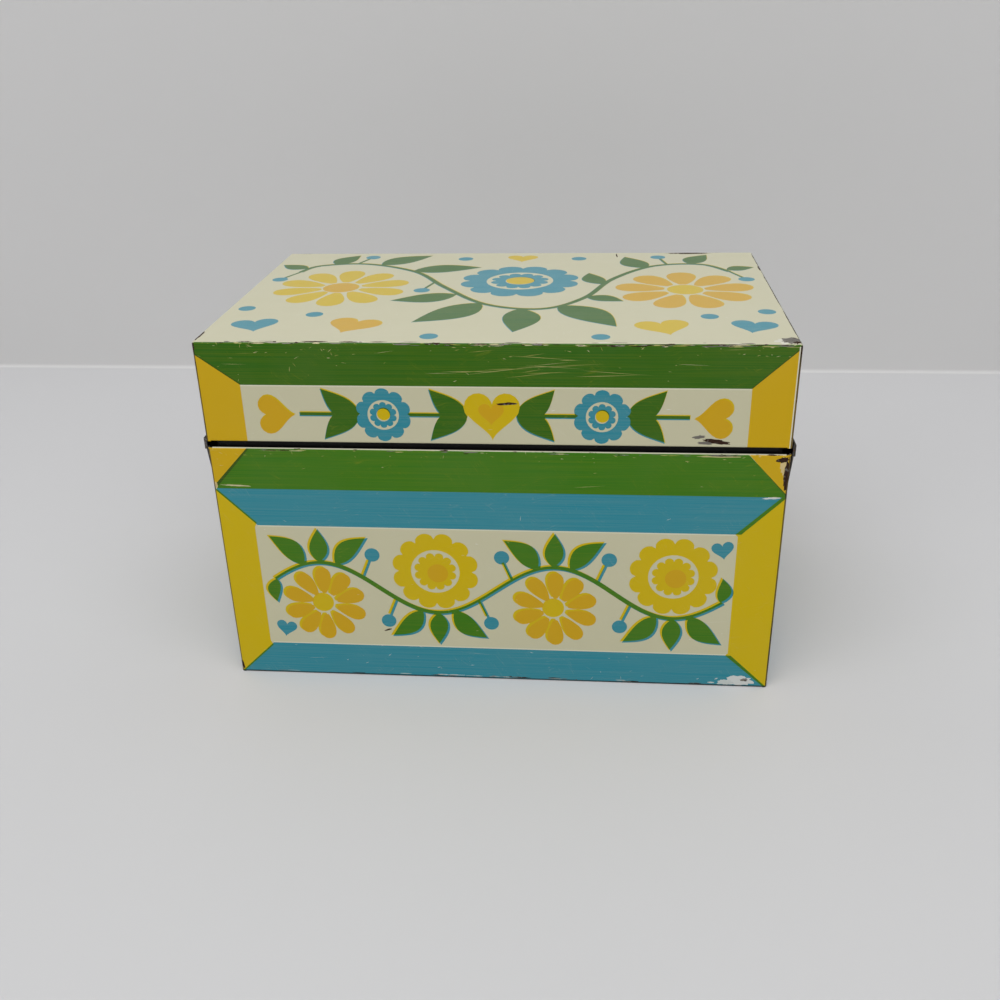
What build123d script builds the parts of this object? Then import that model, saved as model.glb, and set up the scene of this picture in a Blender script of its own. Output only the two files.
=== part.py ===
from build123d import *

import math
import os

# Hinged tinplate box for index cards. Millimetres, +Z up, front towards -Y.
# The origin is the middle of the footprint, on the surface that the box stands on.

# ---- Driving dimensions -------------------------------------------------------------------

# Printed faces
WIDTH = 133.5  # across the front
DEPTH = 85.0  # front to back
BASE_HEIGHT = 62.9  # table to the top of the front rim
LID_GAP = 1.6  # finger gap between the front rim and the lid's edge
LID_HEIGHT = 24.0  # lid's edge to its top

# Sheet and its folds
SHEET = 0.3  # thickness of the tinplate
FOLD_RADIUS = 0.2  # centre line of a hard right-angle fold
CORNER_RADIUS = 0.8  # outside of the base's upright corners
LID_CORNER_RADIUS = 0.6  # outside of the lid's upright corners
LID_TOP_RADIUS = 0.7  # outside of the folds round the lid's top
CORNER_NOTCH = 1.1  # hems stop this far from each upright corner
FIT_GAP = 0.02  # between pieces that are clamped or welded together

# Inward hems on the front rim and on the lid's edges
HEM_DEPTH = 4.5
HEM_SPACE = 0.2  # air between a hem's two leaves

# Side rims of the base
SIDE_FLARE = 0.7  # how far the rim leans out
FLARE_HEIGHT = 8.6  # the wall leans over this height below the front rim
FLARE_BEND_RADIUS = 8.0
SIDE_HEM_DEPTH = 3.0
SIDE_HEM_SPACE = 0.05
SIDE_RIM_LIFT = 0.5  # side rim over the lid's edge, which nests inside it
RIM_SLIT = 0.2  # cut between each front corner and the side rim behind it

# Clinched bottom
BOTTOM_RISE = 2.0  # table to the underside of the bottom
CLINCH_DEPTH = 1.7  # height of the turned-in edge
BOTTOM_FOLD_RADIUS = 0.5  # outside of the folds round the bottom
SEAM_LAP = 7.0  # width of the body's lap seam
SEAM_MARGIN = 0.8  # seam's ends to the bottom and to the back edge

# Collar
COLLAR_FLANGE = 7.5  # height of the flange that is welded to the walls
COLLAR_JOGGLE_RISE = 1.4  # height over which the collar steps inwards
COLLAR_STEP = 1.0  # how far it steps
COLLAR_ABOVE_RIM = 7.0
COLLAR_BEND_RADIUS = 0.6
COLLAR_CORNER_RADIUS = 3.0  # outside of the collar's upright corners
COLLAR_END_GAP = 5.0  # collar's ends to the hinge axis

# Lid's lapped corner tabs
TAB_LENGTH = 8.0
TAB_MARGIN = 0.6  # tab's ends to the hem and to the top

# Hinge
PIN_RADIUS = 0.8
PIN_CLEARANCE = 0.05  # pin to the bore of a knuckle
PIN_OVERHANG = 1.2  # pin beyond each end knuckle
PIN_END_ROUND = 0.3
AXIS_BELOW_LID = 0.5  # hinge axis under the lid's edge
HINGE_LENGTH = 105.0
KNUCKLE_COUNT = 5
KNUCKLE_GAP = 0.3
KNUCKLE_SIDE_ROOM = 0.3  # cut-out to the end of the other leaf's knuckle
KNUCKLE_WRAP = 300.0  # degrees of curl round the pin
OPEN_LIMIT = 105.0  # degrees
STOP_MARGIN = 3.6  # degrees between the limit and where the leaves meet
RELIEF_LENGTH = 3.0  # side rim stops this far before the hinge axis

# ---- Derived sizes ------------------------------------------------------------------------

HALF_SHEET = SHEET / 2
LID_EDGE_Z = BASE_HEIGHT + LID_GAP
TOP_Z = LID_EDGE_Z + LID_HEIGHT
SIDE_RIM_Z = LID_EDGE_Z + SIDE_RIM_LIFT
FLARE_START_Z = BASE_HEIGHT - FLARE_HEIGHT
AXIS_Z = LID_EDGE_Z - AXIS_BELOW_LID
BORE_RADIUS = PIN_RADIUS + PIN_CLEARANCE
KNUCKLE_RADIUS = BORE_RADIUS + SHEET
AXIS_Y = DEPTH / 2 - KNUCKLE_RADIUS
# Both back edges stand this far from the axis, so that the walls meet just past the limit.
STOP_OFFSET = KNUCKLE_RADIUS * math.tan(math.radians(OPEN_LIMIT + STOP_MARGIN) / 2)
BACK_EDGE_Z = AXIS_Z - STOP_OFFSET
HEM_LEAF = HALF_SHEET + SHEET + HEM_SPACE  # outer face to the middle of a hem's inner leaf
CLINCH_RETURN = HALF_SHEET + 2 * (SHEET + FIT_GAP)  # outer face to the middle of the return
COLLAR_TOP_Z = BASE_HEIGHT + COLLAR_ABOVE_RIM


# ---- Sheet sections -----------------------------------------------------------------------
# A wall's section is drawn with u, the distance inwards from the printed face, and the height z.


def across_front(profile, half_length):
    """Extrude a section along the front wall."""
    plane = Plane(origin=(0, -DEPTH / 2, 0), x_dir=(0, 1, 0), z_dir=(1, 0, 0))
    return extrude(plane * profile, amount=half_length, both=True)


def along_side(profile, side, start_y, end_y):
    """Extrude a section along the left (-1) or right (+1) wall, between two places in Y."""
    plane = Plane(origin=(side * WIDTH / 2, start_y, 0), x_dir=(-side, 0, 0), z_dir=(0, side, 0))
    return extrude(plane * profile, amount=side * (end_y - start_y))


def across_back(profile, centre_x, length):
    """Extrude a section along the back wall, centred on a place in X."""
    plane = Plane(origin=(centre_x, DEPTH / 2, 0), x_dir=(0, -1, 0), z_dir=(-1, 0, 0))
    return extrude(plane * profile, amount=length / 2, both=True)


def block(x_range, y_range, z_range):
    """Box between the given limits."""
    low, high = zip(x_range, y_range, z_range)
    size = [b - a for a, b in zip(low, high)]
    return Pos(*low) * Box(*size, align=(Align.MIN, Align.MIN, Align.MIN))


def hem(wall_u, leaf_u, edge_z, leaf_end_z):
    """Round fold at an edge, from the wall to the leaf that lies back beside it."""
    radius = abs(leaf_u - wall_u) / 2
    side = math.copysign(1, leaf_u - wall_u)
    up = math.copysign(1, edge_z - leaf_end_z)
    centre_z = edge_z - up * (radius + HALF_SHEET)
    fold = CenterArc(((wall_u + leaf_u) / 2, centre_z), radius, 90 + side * 90, -side * up * 180)
    return centre_z, [fold, Line((leaf_u, centre_z), (leaf_u, leaf_end_z))]


def corner_posts(end, top_z):
    """Rounded upright corners at the front (-1) or the back (+1), one sheet thick."""
    outer = RectangleRounded(WIDTH, DEPTH, CORNER_RADIUS)
    inner = RectangleRounded(WIDTH - 2 * SHEET, DEPTH - 2 * SHEET, CORNER_RADIUS - SHEET)
    ring = extrude(outer - inner, amount=top_z)
    y_range = sorted((end * DEPTH / 2, end * (DEPTH / 2 - CORNER_NOTCH)))
    posts = []
    for side in (-1, 1):
        x_range = sorted((side * WIDTH / 2, side * (WIDTH / 2 - CORNER_NOTCH)))
        posts.append(ring & block(x_range, y_range, (0, top_z)))
    return posts


# ---- Hinge --------------------------------------------------------------------------------


def knuckle_spans(leaf):
    """Centre and length in X of each knuckle of the base's (0) or the lid's (1) leaf."""
    pitch = HINGE_LENGTH / KNUCKLE_COUNT
    first = -HINGE_LENGTH / 2 + pitch / 2
    return [
        (first + index * pitch, pitch - KNUCKLE_GAP)
        for index in range(KNUCKLE_COUNT)
        if index % 2 == leaf
    ]


def curled_knuckle(centre_x, length, wall_z):
    """Knuckle rolled inwards from a wall that reaches the axis from the height wall_z."""
    turn = 1 if wall_z < AXIS_Z else -1
    curl_radius = KNUCKLE_RADIUS - HALF_SHEET
    centre = (KNUCKLE_RADIUS, AXIS_Z)
    straight = Line((HALF_SHEET, wall_z), (HALF_SHEET, AXIS_Z))
    curl = CenterArc(centre, curl_radius, 180, -turn * KNUCKLE_WRAP)
    profile = trace([straight, curl], line_width=SHEET)
    return across_back(profile, centre_x, length)


def hinge_pin():
    """Wire through all the knuckles, its ends lightly rounded."""
    length = HINGE_LENGTH - KNUCKLE_GAP + 2 * PIN_OVERHANG
    wire = Cylinder(PIN_RADIUS, length, rotation=(0, 90, 0))
    wire = fillet(wire.edges().filter_by(GeomType.CIRCLE), PIN_END_ROUND)
    return Pos(0, AXIS_Y, AXIS_Z) * wire


# ---- Base ---------------------------------------------------------------------------------


def clinch_line(top_z):
    """Middle line of a base wall: down its turned-in edge, round and up to top_z."""
    points = [
        (CLINCH_RETURN, CLINCH_DEPTH),
        (CLINCH_RETURN, HALF_SHEET),
        (HALF_SHEET, HALF_SHEET),
        (HALF_SHEET, top_z),
    ]
    return FilletPolyline(*points, radius=FOLD_RADIUS)


def clinch_section(top_z):
    """A base wall with a plain top edge at top_z."""
    return trace(clinch_line(top_z), line_width=SHEET)


def front_section():
    """The front wall: turned in below, hemmed inwards at the rim."""
    fold_z, folded = hem(HALF_SHEET, HEM_LEAF, BASE_HEIGHT, BASE_HEIGHT - HEM_DEPTH)
    return trace([clinch_line(fold_z), *folded], line_width=SHEET)


def side_rim_section():
    """A side wall above the flare's start: leaning out, then hemmed outwards and down."""
    wall_u = HALF_SHEET - SIDE_FLARE
    leaf_u = wall_u - SHEET - SIDE_HEM_SPACE
    leaf_end_z = SIDE_RIM_Z - SIDE_HEM_DEPTH
    fold_z, folded = hem(wall_u, leaf_u, SIDE_RIM_Z, leaf_end_z)
    points = [(HALF_SHEET, FLARE_START_Z), (wall_u, leaf_end_z), (wall_u, fold_z)]
    wall = FilletPolyline(*points, radius=FLARE_BEND_RADIUS)
    return trace([wall, *folded], line_width=SHEET)


def lap_seam():
    """End of the body's strip, lapped over the inside of the back wall at the left corner."""
    start_x = -WIDTH / 2 + CORNER_RADIUS
    inner_y = DEPTH / 2 - SHEET
    low_z = BOTTOM_RISE + SHEET + SEAM_MARGIN
    return block(
        (start_x, start_x + SEAM_LAP),
        (inner_y - SHEET, inner_y),
        (low_z, BACK_EDGE_Z - SEAM_MARGIN),
    )


def base_shell():
    """Printed body: walls, rims, turned-in lower edge and the base's hinge knuckles."""
    front_half = WIDTH / 2 - CORNER_NOTCH
    side_end = DEPTH / 2 - CORNER_NOTCH
    rim_end = AXIS_Y - RELIEF_LENGTH
    shell = across_front(front_section(), front_half)
    shell += across_back(clinch_section(BACK_EDGE_Z), 0, 2 * front_half)
    for post in corner_posts(-1, BASE_HEIGHT) + corner_posts(1, BACK_EDGE_Z):
        shell += post
    for side in (-1, 1):
        shell += along_side(clinch_section(FLARE_START_Z), side, -side_end, rim_end)
        shell += along_side(clinch_section(BACK_EDGE_Z), side, rim_end, side_end)
        shell += along_side(side_rim_section(), side, RIM_SLIT - side_end, rim_end)
    for centre_x, length in knuckle_spans(0):
        shell += curled_knuckle(centre_x, length, BACK_EDGE_Z - SHEET)
    shell += lap_seam()
    return shell


def base_bottom():
    """Shallow tray, open downwards, whose flange stands in the body's turned-in edge."""
    inset = SHEET + FIT_GAP
    width = WIDTH - 2 * inset
    depth = DEPTH - 2 * inset
    low_z = SHEET + FOLD_RADIUS - HALF_SHEET + FIT_GAP
    top_z = BOTTOM_RISE + SHEET
    plan = RectangleRounded(width, depth, CORNER_RADIUS - SHEET)
    tray = extrude(Pos(0, 0, low_z) * plan, amount=top_z - low_z)
    tray = fillet(tray.faces().sort_by(Axis.Z)[-1].edges(), BOTTOM_FOLD_RADIUS - FIT_GAP)
    hollow = RectangleRounded(width - 2 * SHEET, depth - 2 * SHEET, CORNER_RADIUS - 1.5 * SHEET)
    return tray - extrude(Pos(0, 0, low_z) * hollow, amount=BOTTOM_RISE - low_z)


def collar_section():
    """Welded flange, joggle and the upright lip."""
    flange_u = SHEET + FIT_GAP + HALF_SHEET
    lip_u = flange_u + COLLAR_STEP
    joggle_z = FLARE_START_Z - COLLAR_JOGGLE_RISE
    points = [
        (flange_u, joggle_z - COLLAR_FLANGE),
        (flange_u, joggle_z),
        (lip_u, FLARE_START_Z),
        (lip_u, COLLAR_TOP_Z),
    ]
    return trace(FilletPolyline(*points, radius=COLLAR_BEND_RADIUS), line_width=SHEET)


def base_collar():
    """Lip along the front and both sides, bent round the front corners."""
    bend = COLLAR_CORNER_RADIUS
    end_y = AXIS_Y - COLLAR_END_GAP
    profile = collar_section()
    front_y = -DEPTH / 2
    collar = across_front(profile, WIDTH / 2 - bend)
    for side in (-1, 1):
        collar += along_side(profile, side, front_y + bend, end_y)
        # The bend turns about an upright axis at the corner's centre.
        centre_x = side * (WIDTH / 2 - bend)
        plane = Plane(origin=(centre_x, front_y, 0), x_dir=(0, 1, 0), z_dir=(1, 0, 0))
        upright = Axis((centre_x, front_y + bend, 0), (0, 0, 1))
        collar += revolve(plane * profile, upright, revolution_arc=side * 90)
    return collar


# ---- Lid ----------------------------------------------------------------------------------


def lid_hem_section():
    """Hem turned inwards at the lid's edge, with a short length of the wall it folds from."""
    leaf_end_z = LID_EDGE_Z + HEM_DEPTH
    fold_z, folded = hem(HALF_SHEET, HEM_LEAF, LID_EDGE_Z, leaf_end_z)
    wall = Line((HALF_SHEET, leaf_end_z), (HALF_SHEET, fold_z))
    return trace([wall, *folded], line_width=SHEET)


def lid_box():
    """Top and four walls, folded from one blank."""
    outer = Pos(0, 0, LID_EDGE_Z) * extrude(Rectangle(WIDTH, DEPTH), amount=LID_HEIGHT)
    outer = fillet(outer.edges().filter_by(Axis.Z), LID_CORNER_RADIUS)
    outer = fillet(outer.faces().sort_by(Axis.Z)[-1].edges(), LID_TOP_RADIUS)
    inner = Pos(0, 0, LID_EDGE_Z) * extrude(
        Rectangle(WIDTH - 2 * SHEET, DEPTH - 2 * SHEET), amount=LID_HEIGHT - SHEET
    )
    inner = fillet(inner.edges().filter_by(Axis.Z), LID_CORNER_RADIUS - SHEET)
    inner = fillet(inner.faces().sort_by(Axis.Z)[-1].edges(), LID_TOP_RADIUS - SHEET)
    return outer - inner


def corner_tabs():
    """Tabs of the front and back walls, lapped over the inside of the side walls."""
    low_z = LID_EDGE_Z + HEM_DEPTH + TAB_MARGIN
    high_z = TOP_Z - LID_TOP_RADIUS - TAB_MARGIN
    reach_y = DEPTH / 2 - LID_CORNER_RADIUS
    inner_x = WIDTH / 2 - SHEET
    tabs = []
    for side in (-1, 1):
        x_range = sorted((side * inner_x, side * (inner_x - SHEET)))
        for end in (-1, 1):
            y_range = sorted((end * reach_y, end * (reach_y - TAB_LENGTH)))
            tabs.append(block(x_range, y_range, (low_z, high_z)))
    return tabs


def lid_shell():
    """Printed lid: top, walls, hems, corner tabs and the lid's hinge knuckles."""
    shell = lid_box()
    front_half = WIDTH / 2 - CORNER_NOTCH
    side_end = DEPTH / 2 - CORNER_NOTCH
    # The hems' own lower folds replace the plain edge of the front and side walls.
    strip = (LID_EDGE_Z, LID_EDGE_Z + HEM_DEPTH)
    shell -= block((-front_half, front_half), (-DEPTH / 2, -DEPTH / 2 + SHEET), strip)
    shell += across_front(lid_hem_section(), front_half)
    for side in (-1, 1):
        x_range = sorted((side * WIDTH / 2, side * (WIDTH / 2 - SHEET)))
        shell -= block(x_range, (-side_end, side_end), strip)
        shell += along_side(lid_hem_section(), side, -side_end, side_end)
    for tab in corner_tabs():
        shell += tab
    notch_top = AXIS_Z + STOP_OFFSET
    for centre_x, length in knuckle_spans(0):
        half = length / 2 + KNUCKLE_SIDE_ROOM
        wall = (DEPTH / 2 - SHEET, DEPTH / 2)
        shell -= block((centre_x - half, centre_x + half), wall, (LID_EDGE_Z, notch_top))
    for centre_x, length in knuckle_spans(1):
        shell += curled_knuckle(centre_x, length, notch_top)
    return shell


# ---- Files --------------------------------------------------------------------------------

PARTS = {
    "base_shell": base_shell,
    "base_bottom": base_bottom,
    "base_collar": base_collar,
    "hinge_pin": hinge_pin,
    "lid_shell": lid_shell,
}

os.makedirs("parts", exist_ok=True)
for name, make in PARTS.items():
    export_step(make(), f"parts/{name}.step")
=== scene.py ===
"""Printed tinplate box for index cards: its print, its finishes, the stage and the camera.

The drawings of the print are in millimetres on each panel. Everything else is in metres.
"""

import logging
import math
import random
from collections.abc import Iterable, Sequence
from dataclasses import dataclass, field
from enum import Enum, IntEnum

import bmesh
import bpy
import numpy as np
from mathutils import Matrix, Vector
from mathutils.geometry import delaunay_2d_cdt


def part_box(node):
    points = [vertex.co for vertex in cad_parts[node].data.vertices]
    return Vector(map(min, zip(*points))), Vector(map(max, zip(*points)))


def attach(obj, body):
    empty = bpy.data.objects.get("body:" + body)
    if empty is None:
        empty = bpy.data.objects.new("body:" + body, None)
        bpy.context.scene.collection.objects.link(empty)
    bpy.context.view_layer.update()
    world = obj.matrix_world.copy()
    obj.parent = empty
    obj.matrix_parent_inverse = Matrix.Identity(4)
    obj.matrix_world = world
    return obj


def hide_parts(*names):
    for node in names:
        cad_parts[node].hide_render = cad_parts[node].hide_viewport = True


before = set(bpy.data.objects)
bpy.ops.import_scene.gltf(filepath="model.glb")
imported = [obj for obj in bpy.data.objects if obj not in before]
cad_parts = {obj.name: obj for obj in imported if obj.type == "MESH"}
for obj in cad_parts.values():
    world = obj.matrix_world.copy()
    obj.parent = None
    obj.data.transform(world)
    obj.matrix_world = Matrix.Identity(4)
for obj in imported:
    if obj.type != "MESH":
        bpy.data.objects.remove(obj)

log = logging.getLogger("card_box")

MM = 0.001
FULL_TURN = 2 * math.pi
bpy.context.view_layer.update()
LID_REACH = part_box("lid_shell")[1]

Point = tuple[float, float]
Place = tuple[float, float, float]
Outline = list[Point]
Color = tuple[float, float, float, float]
Socket = bpy.types.NodeSocket


def in_mm(length: float) -> float:
    """Length in millimetres, to a hundredth, from one in metres."""
    return round(length / MM, 2)


# ---- Inks and outlines --------------------------------------------------------------------


class Plate(Enum):
    """What can cover a face of the sheet. The value names the face attribute that holds it."""

    YELLOW = "ink_yellow"
    ORANGE = "ink_orange"
    BLUE = "ink_blue"
    BUFF = "ink_buff"
    BARE = "bare_metal"
    SCUFF = "scuffed"
    # Near-black darkening: painted shade under the box and along its foot, dark lines at the
    # upright corners, some soiling.
    GRIME_AND_SHADE = "grime"


INK_PLATES = (Plate.YELLOW, Plate.ORANGE, Plate.BLUE)


class Tint(Enum):
    """Printed colours, each as the plates that make it."""

    CREAM = ()
    YELLOW = ((Plate.YELLOW, 1.0),)
    AMBER = ((Plate.YELLOW, 1.0), (Plate.ORANGE, 0.7))
    ORANGE = ((Plate.YELLOW, 1.0), (Plate.ORANGE, 1.0))
    BLUE = ((Plate.BLUE, 1.0),)
    GREEN = ((Plate.YELLOW, 1.0), (Plate.BLUE, 1.0))


class Skin(IntEnum):
    """Which side of the sheet a face belongs to. The value is its material's place."""

    PRINT = 0
    LACQUER = 1
    EDGE = 2


def placed(points: Iterable[Point], root: Point, heading: float) -> Outline:
    """Turn points about the origin and move them.

    Args:
        points: Points that are drawn along +X from the origin.
        root: Where the origin goes.
        heading: Angle in degrees that +X turns to.

    Returns:
        The moved points.
    """
    c, s = math.cos(math.radians(heading)), math.sin(math.radians(heading))
    return [(root[0] + c * x - s * y, root[1] + s * x + c * y) for x, y in points]


def box(x_range: Point, y_range: Point) -> Outline:
    """Level rectangle.

    Args:
        x_range: Its two ends.
        y_range: Its lower and upper edge, in either order.

    Returns:
        The closed outline.
    """
    (x0, x1), (y0, y1) = sorted(x_range), sorted(y_range)
    return [(x0, y0), (x1, y0), (x1, y1), (x0, y1)]


def disc(centre: Point, radius: float, count: int = 30) -> Outline:
    """Round spot.

    Args:
        centre: Its middle.
        radius: Its radius.
        count: Number of corners.

    Returns:
        The closed outline.
    """
    turns = (FULL_TURN * k / count for k in range(count))
    return [(centre[0] + radius * math.cos(a), centre[1] + radius * math.sin(a)) for a in turns]


def scallop(centre: Point, radius: float, lobes: int, depth: float) -> Outline:
    """Round spot with a lobed edge.

    Args:
        centre: Middle of the spot.
        radius: Radius at the top of each lobe.
        lobes: Number of lobes.
        depth: Depth of the notches as a share of the radius.

    Returns:
        The closed outline.
    """
    edge: Outline = []
    steps, roundness = lobes * 10, 0.55
    for k in range(steps):
        a = FULL_TURN * k / steps
        r = radius * (1 - depth + depth * abs(math.sin(lobes * a / 2)) ** roundness)
        edge.append((centre[0] + r * math.cos(a), centre[1] + r * math.sin(a)))
    return edge


def leaf(root: Point, heading: float, length: float, width: float, bow: float = 0.0) -> Outline:
    """Pointed leaf, widest below its middle.

    Args:
        root: Where it leaves the stem.
        heading: Direction in degrees of its tip.
        length: Root to tip.
        width: Greatest width.
        bow: Sideways curve as a share of the length.

    Returns:
        The closed outline.
    """
    steps, fullness = 12, 0.78
    edge: Outline = []
    for side, order in ((1, range(steps + 1)), (-1, range(steps - 1, 0, -1))):
        for k in order:
            t = k / steps
            half = side * width / 2 * math.sin(math.pi * t**fullness)
            edge.append((t * length, half + bow * length * math.sin(math.pi * t)))
    return placed(edge, root, heading)


def petal(root: Point, heading: float, length: float, width: float) -> Outline:
    """Petal with a blunt round end, narrow at its root.

    Args:
        root: Where it starts.
        heading: Direction in degrees of its tip.
        length: Root to tip.
        width: About its greatest width.

    Returns:
        The closed outline.
    """
    edge: Outline = []
    steps, at_root, flare = 22, 0.42, 0.66
    for k in range(steps):
        a = FULL_TURN * k / steps
        x = (1 - math.cos(a)) / 2
        edge.append((x * length, width / 2 * math.sin(a) * (at_root + flare * x)))
    return placed(edge, root, heading)


def heart(centre: Point, size: float, heading: float = 0.0) -> Outline:
    """Plain heart, its point towards -Y before it is turned.

    Args:
        centre: Its middle.
        size: Its width.
        heading: Angle in degrees that it is turned by.

    Returns:
        The closed outline.
    """
    edge: Outline = []
    steps, span, sag = 36, 32, 2
    for k in range(steps):
        a = FULL_TURN * k / steps
        x = span / 2 * math.sin(a) ** 3
        y = 13 * math.cos(a) - 5 * math.cos(2 * a) - 2 * math.cos(3 * a) - math.cos(4 * a)
        edge.append((x * size / span, (y + sag) * size / span))
    return placed(edge, centre, heading)


def smooth_line(points: Sequence[Point], steps: int = 7) -> Outline:
    """Rounded line through the points.

    Args:
        points: Where it passes.
        steps: Number of runs from each point to the next.

    Returns:
        The open line.
    """
    ends = [points[0], *points, points[-1]]
    line: Outline = []
    for a, b, c, d in zip(ends, ends[1:], ends[2:], ends[3:]):
        for k in range(steps):
            t = k / steps
            weights = (
                -0.5 * t + t * t - 0.5 * t**3,
                1 - 2.5 * t * t + 1.5 * t**3,
                0.5 * t + 2 * t * t - 1.5 * t**3,
                -0.5 * t * t + 0.5 * t**3,
            )
            corners = (a, b, c, d)
            line.append(tuple(sum(w * p[i] for w, p in zip(weights, corners)) for i in (0, 1)))
    line.append(points[-1])
    return line


def stem(points: Sequence[Point], width: float, taper: float = 0.6) -> Outline:
    """Drawn stroke along a rounded line.

    Args:
        points: Where the stroke passes.
        width: Its width at the start.
        taper: Its width at the end as a share of the start.

    Returns:
        The closed outline.
    """
    line = smooth_line(points)
    left: Outline = []
    right: Outline = []
    for k, (x, y) in enumerate(line):
        x0, y0 = line[max(k - 1, 0)]
        x1, y1 = line[min(k + 1, len(line) - 1)]
        run = math.hypot(x1 - x0, y1 - y0)
        half = width / 2 * (1 + (taper - 1) * k / (len(line) - 1))
        nx, ny = -(y1 - y0) / run * half, (x1 - x0) / run * half
        left.append((x + nx, y + ny))
        right.append((x - nx, y - ny))
    return left + right[::-1]


def sliver(centre: Point, length: float, thick: float, turn: float) -> Outline:
    """Scratch that is thickest in its first half.

    Args:
        centre: Its middle.
        length: Its length.
        thick: Its greatest width.
        turn: Angle in degrees of its length.

    Returns:
        The closed outline.
    """
    start, peak, end = -length / 2, -length / 8, length / 2
    return placed([(start, 0.0), (peak, -thick / 2), (end, 0.0), (peak, thick / 2)], centre, turn)


def blot(rng: random.Random, centre: Point, size: Point, turn: float = 0.0) -> Outline:
    """Ragged patch, such as a chip in the print.

    Args:
        rng: Source of the ragged edge.
        centre: Middle of the patch.
        size: Its width and height.
        turn: Angle in degrees of its width.

    Returns:
        The closed outline.
    """
    edge: Outline = []
    count, deepest = 26, 0.62
    for k in range(count):
        a = FULL_TURN * k / count
        r = rng.uniform(deepest, 1.0)
        edge.append((r * size[0] / 2 * math.cos(a), r * size[1] / 2 * math.sin(a)))
    return placed(edge, centre, turn)


@dataclass(frozen=True)
class Patch:
    """One shape on one plate: it sets the plate's amount inside its outline.

    Attributes:
        outline: Its closed outline.
        plate: The plate.
        amount: How much of it there is, from 0 to 1.
    """

    outline: Outline
    plate: Plate
    amount: float


@dataclass
class Artwork:
    """Print of one panel, drawn plate by plate. Later patches lie over earlier ones.

    Attributes:
        slips: How far each plate's motifs are out of register.
        border_slips: How far to the side each tint's bands are.
        frames: Patches of the border.
        motifs: Patches of the pattern and the wear.
    """

    slips: dict[Plate, Point]
    border_slips: dict[Tint, float] = field(default_factory=dict)
    frames: list[Patch] = field(default_factory=list)
    motifs: list[Patch] = field(default_factory=list)

    def _shift(self, outline: Outline, plate: Plate) -> Outline:
        """Outline moved by as much as its plate is out of register."""
        dx, dy = self.slips.get(plate, (0.0, 0.0))
        return [(x + dx, y + dy) for x, y in outline]

    def band(self, outline: Outline, tint: Tint) -> None:
        """Add part of the border, which slips only to the side.

        Args:
            outline: Its closed outline.
            tint: Its colour.
        """
        dx = self.border_slips.get(tint, 0.0)
        for plate, amount in tint.value:
            self.frames.append(Patch([(x + dx, y) for x, y in outline], plate, amount))

    def lay(self, outline: Outline, tint: Tint, over: bool = False) -> None:
        """Add a shape.

        Args:
            outline: Its closed outline.
            tint: Its colour.
            over: True where it lies over other shapes, and so keeps their inks out.
        """
        amounts = dict(tint.value)
        for plate in INK_PLATES:
            if over or plate in amounts:
                patch = Patch(self._shift(outline, plate), plate, amounts.get(plate, 0.0))
                self.motifs.append(patch)

    def mark(self, outline: Outline, plate: Plate, amount: float) -> None:
        """Add wear or a gap, which has no slip."""
        self.motifs.append(Patch(outline, plate, amount))

    def leave_bare_coat(self, x_range: Point, y_range: Point) -> None:
        """Keep every ink out of a strip, so that the pale coat under them shows.

        Args:
            x_range: Its two ends.
            y_range: Its lower and upper edge.
        """
        strip = box(x_range, y_range)
        for plate in INK_PLATES:
            self.mark(strip, plate, 0.0)
        self.mark(strip, Plate.BUFF, 1.0)

    def daisy(self, centre: Point, radius: float, petals: int, tint: Tint, eye: Tint) -> None:
        """Round flower of separate petals.

        Args:
            centre: Its middle.
            radius: Its radius.
            petals: Number of petals.
            tint: Their colour.
            eye: Colour of the middle.
        """
        # Shares of the radius, from the field that is kept clear of stems to the eye.
        field_size, middle, root_at, ring_size, eye_size = 0.96, 0.76, 0.27, 0.3, 0.26
        self.lay(disc(centre, radius * field_size), Tint.CREAM, over=True)
        width = FULL_TURN * radius * middle / petals
        for k in range(petals):
            turn = 90 + 360 * k / petals
            root = placed([(radius * root_at, 0)], centre, turn)[0]
            self.lay(petal(root, turn, radius * (1 - root_at), width), tint)
        self.lay(disc(centre, radius * ring_size), Tint.CREAM, over=True)
        self.lay(disc(centre, radius * eye_size), eye, over=True)

    def rosette(self, centre: Point, radius: float, lobes: int, tint: Tint, eye: Tint) -> None:
        """Round flower with a lobed edge, a pale ring and an eye.

        Args:
            centre: Its middle.
            radius: Its radius.
            lobes: Number of lobes.
            tint: Its colour.
            eye: Colour of the eye.
        """
        outer_depth, inner_depth = 0.16, 0.2
        ring_size, inner_size, eye_size = 0.56, 0.49, 0.24
        self.lay(scallop(centre, radius, lobes, outer_depth), tint, over=True)
        self.lay(disc(centre, radius * ring_size), Tint.CREAM, over=True)
        self.lay(scallop(centre, radius * inner_size, lobes, inner_depth), tint, over=True)
        self.lay(disc(centre, radius * eye_size), eye, over=True)

    def sprig(self, points: Sequence[Point], leaf_size: Point, pairs: int, berry: float) -> None:
        """Stem with pairs of leaves and a berry at its tip.

        Args:
            points: Where the stem passes, from its root.
            leaf_size: Length and width of a leaf.
            pairs: Number of leaf pairs.
            berry: Radius of the berry.
        """
        thick, spread, bow = 0.95, 47, 0.08
        first, last, loss = 0.75, 0.4, 0.12
        self.lay(stem(points, thick), Tint.GREEN)
        line = smooth_line(points)
        for k in range(pairs):
            at = int((k + first) / (pairs + last) * (len(line) - 1))
            x, y = line[at]
            x1, y1 = line[at + 1]
            ahead = math.degrees(math.atan2(y1 - y, x1 - x))
            shrink = 1 - loss * k
            for side in (-1, 1):
                size = (leaf_size[0] * shrink, leaf_size[1] * shrink)
                self.lay(leaf((x, y), ahead + side * spread, *size, bow=-side * bow), Tint.GREEN)
        self.lay(disc(line[-1], berry), Tint.BLUE, over=True)


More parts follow.
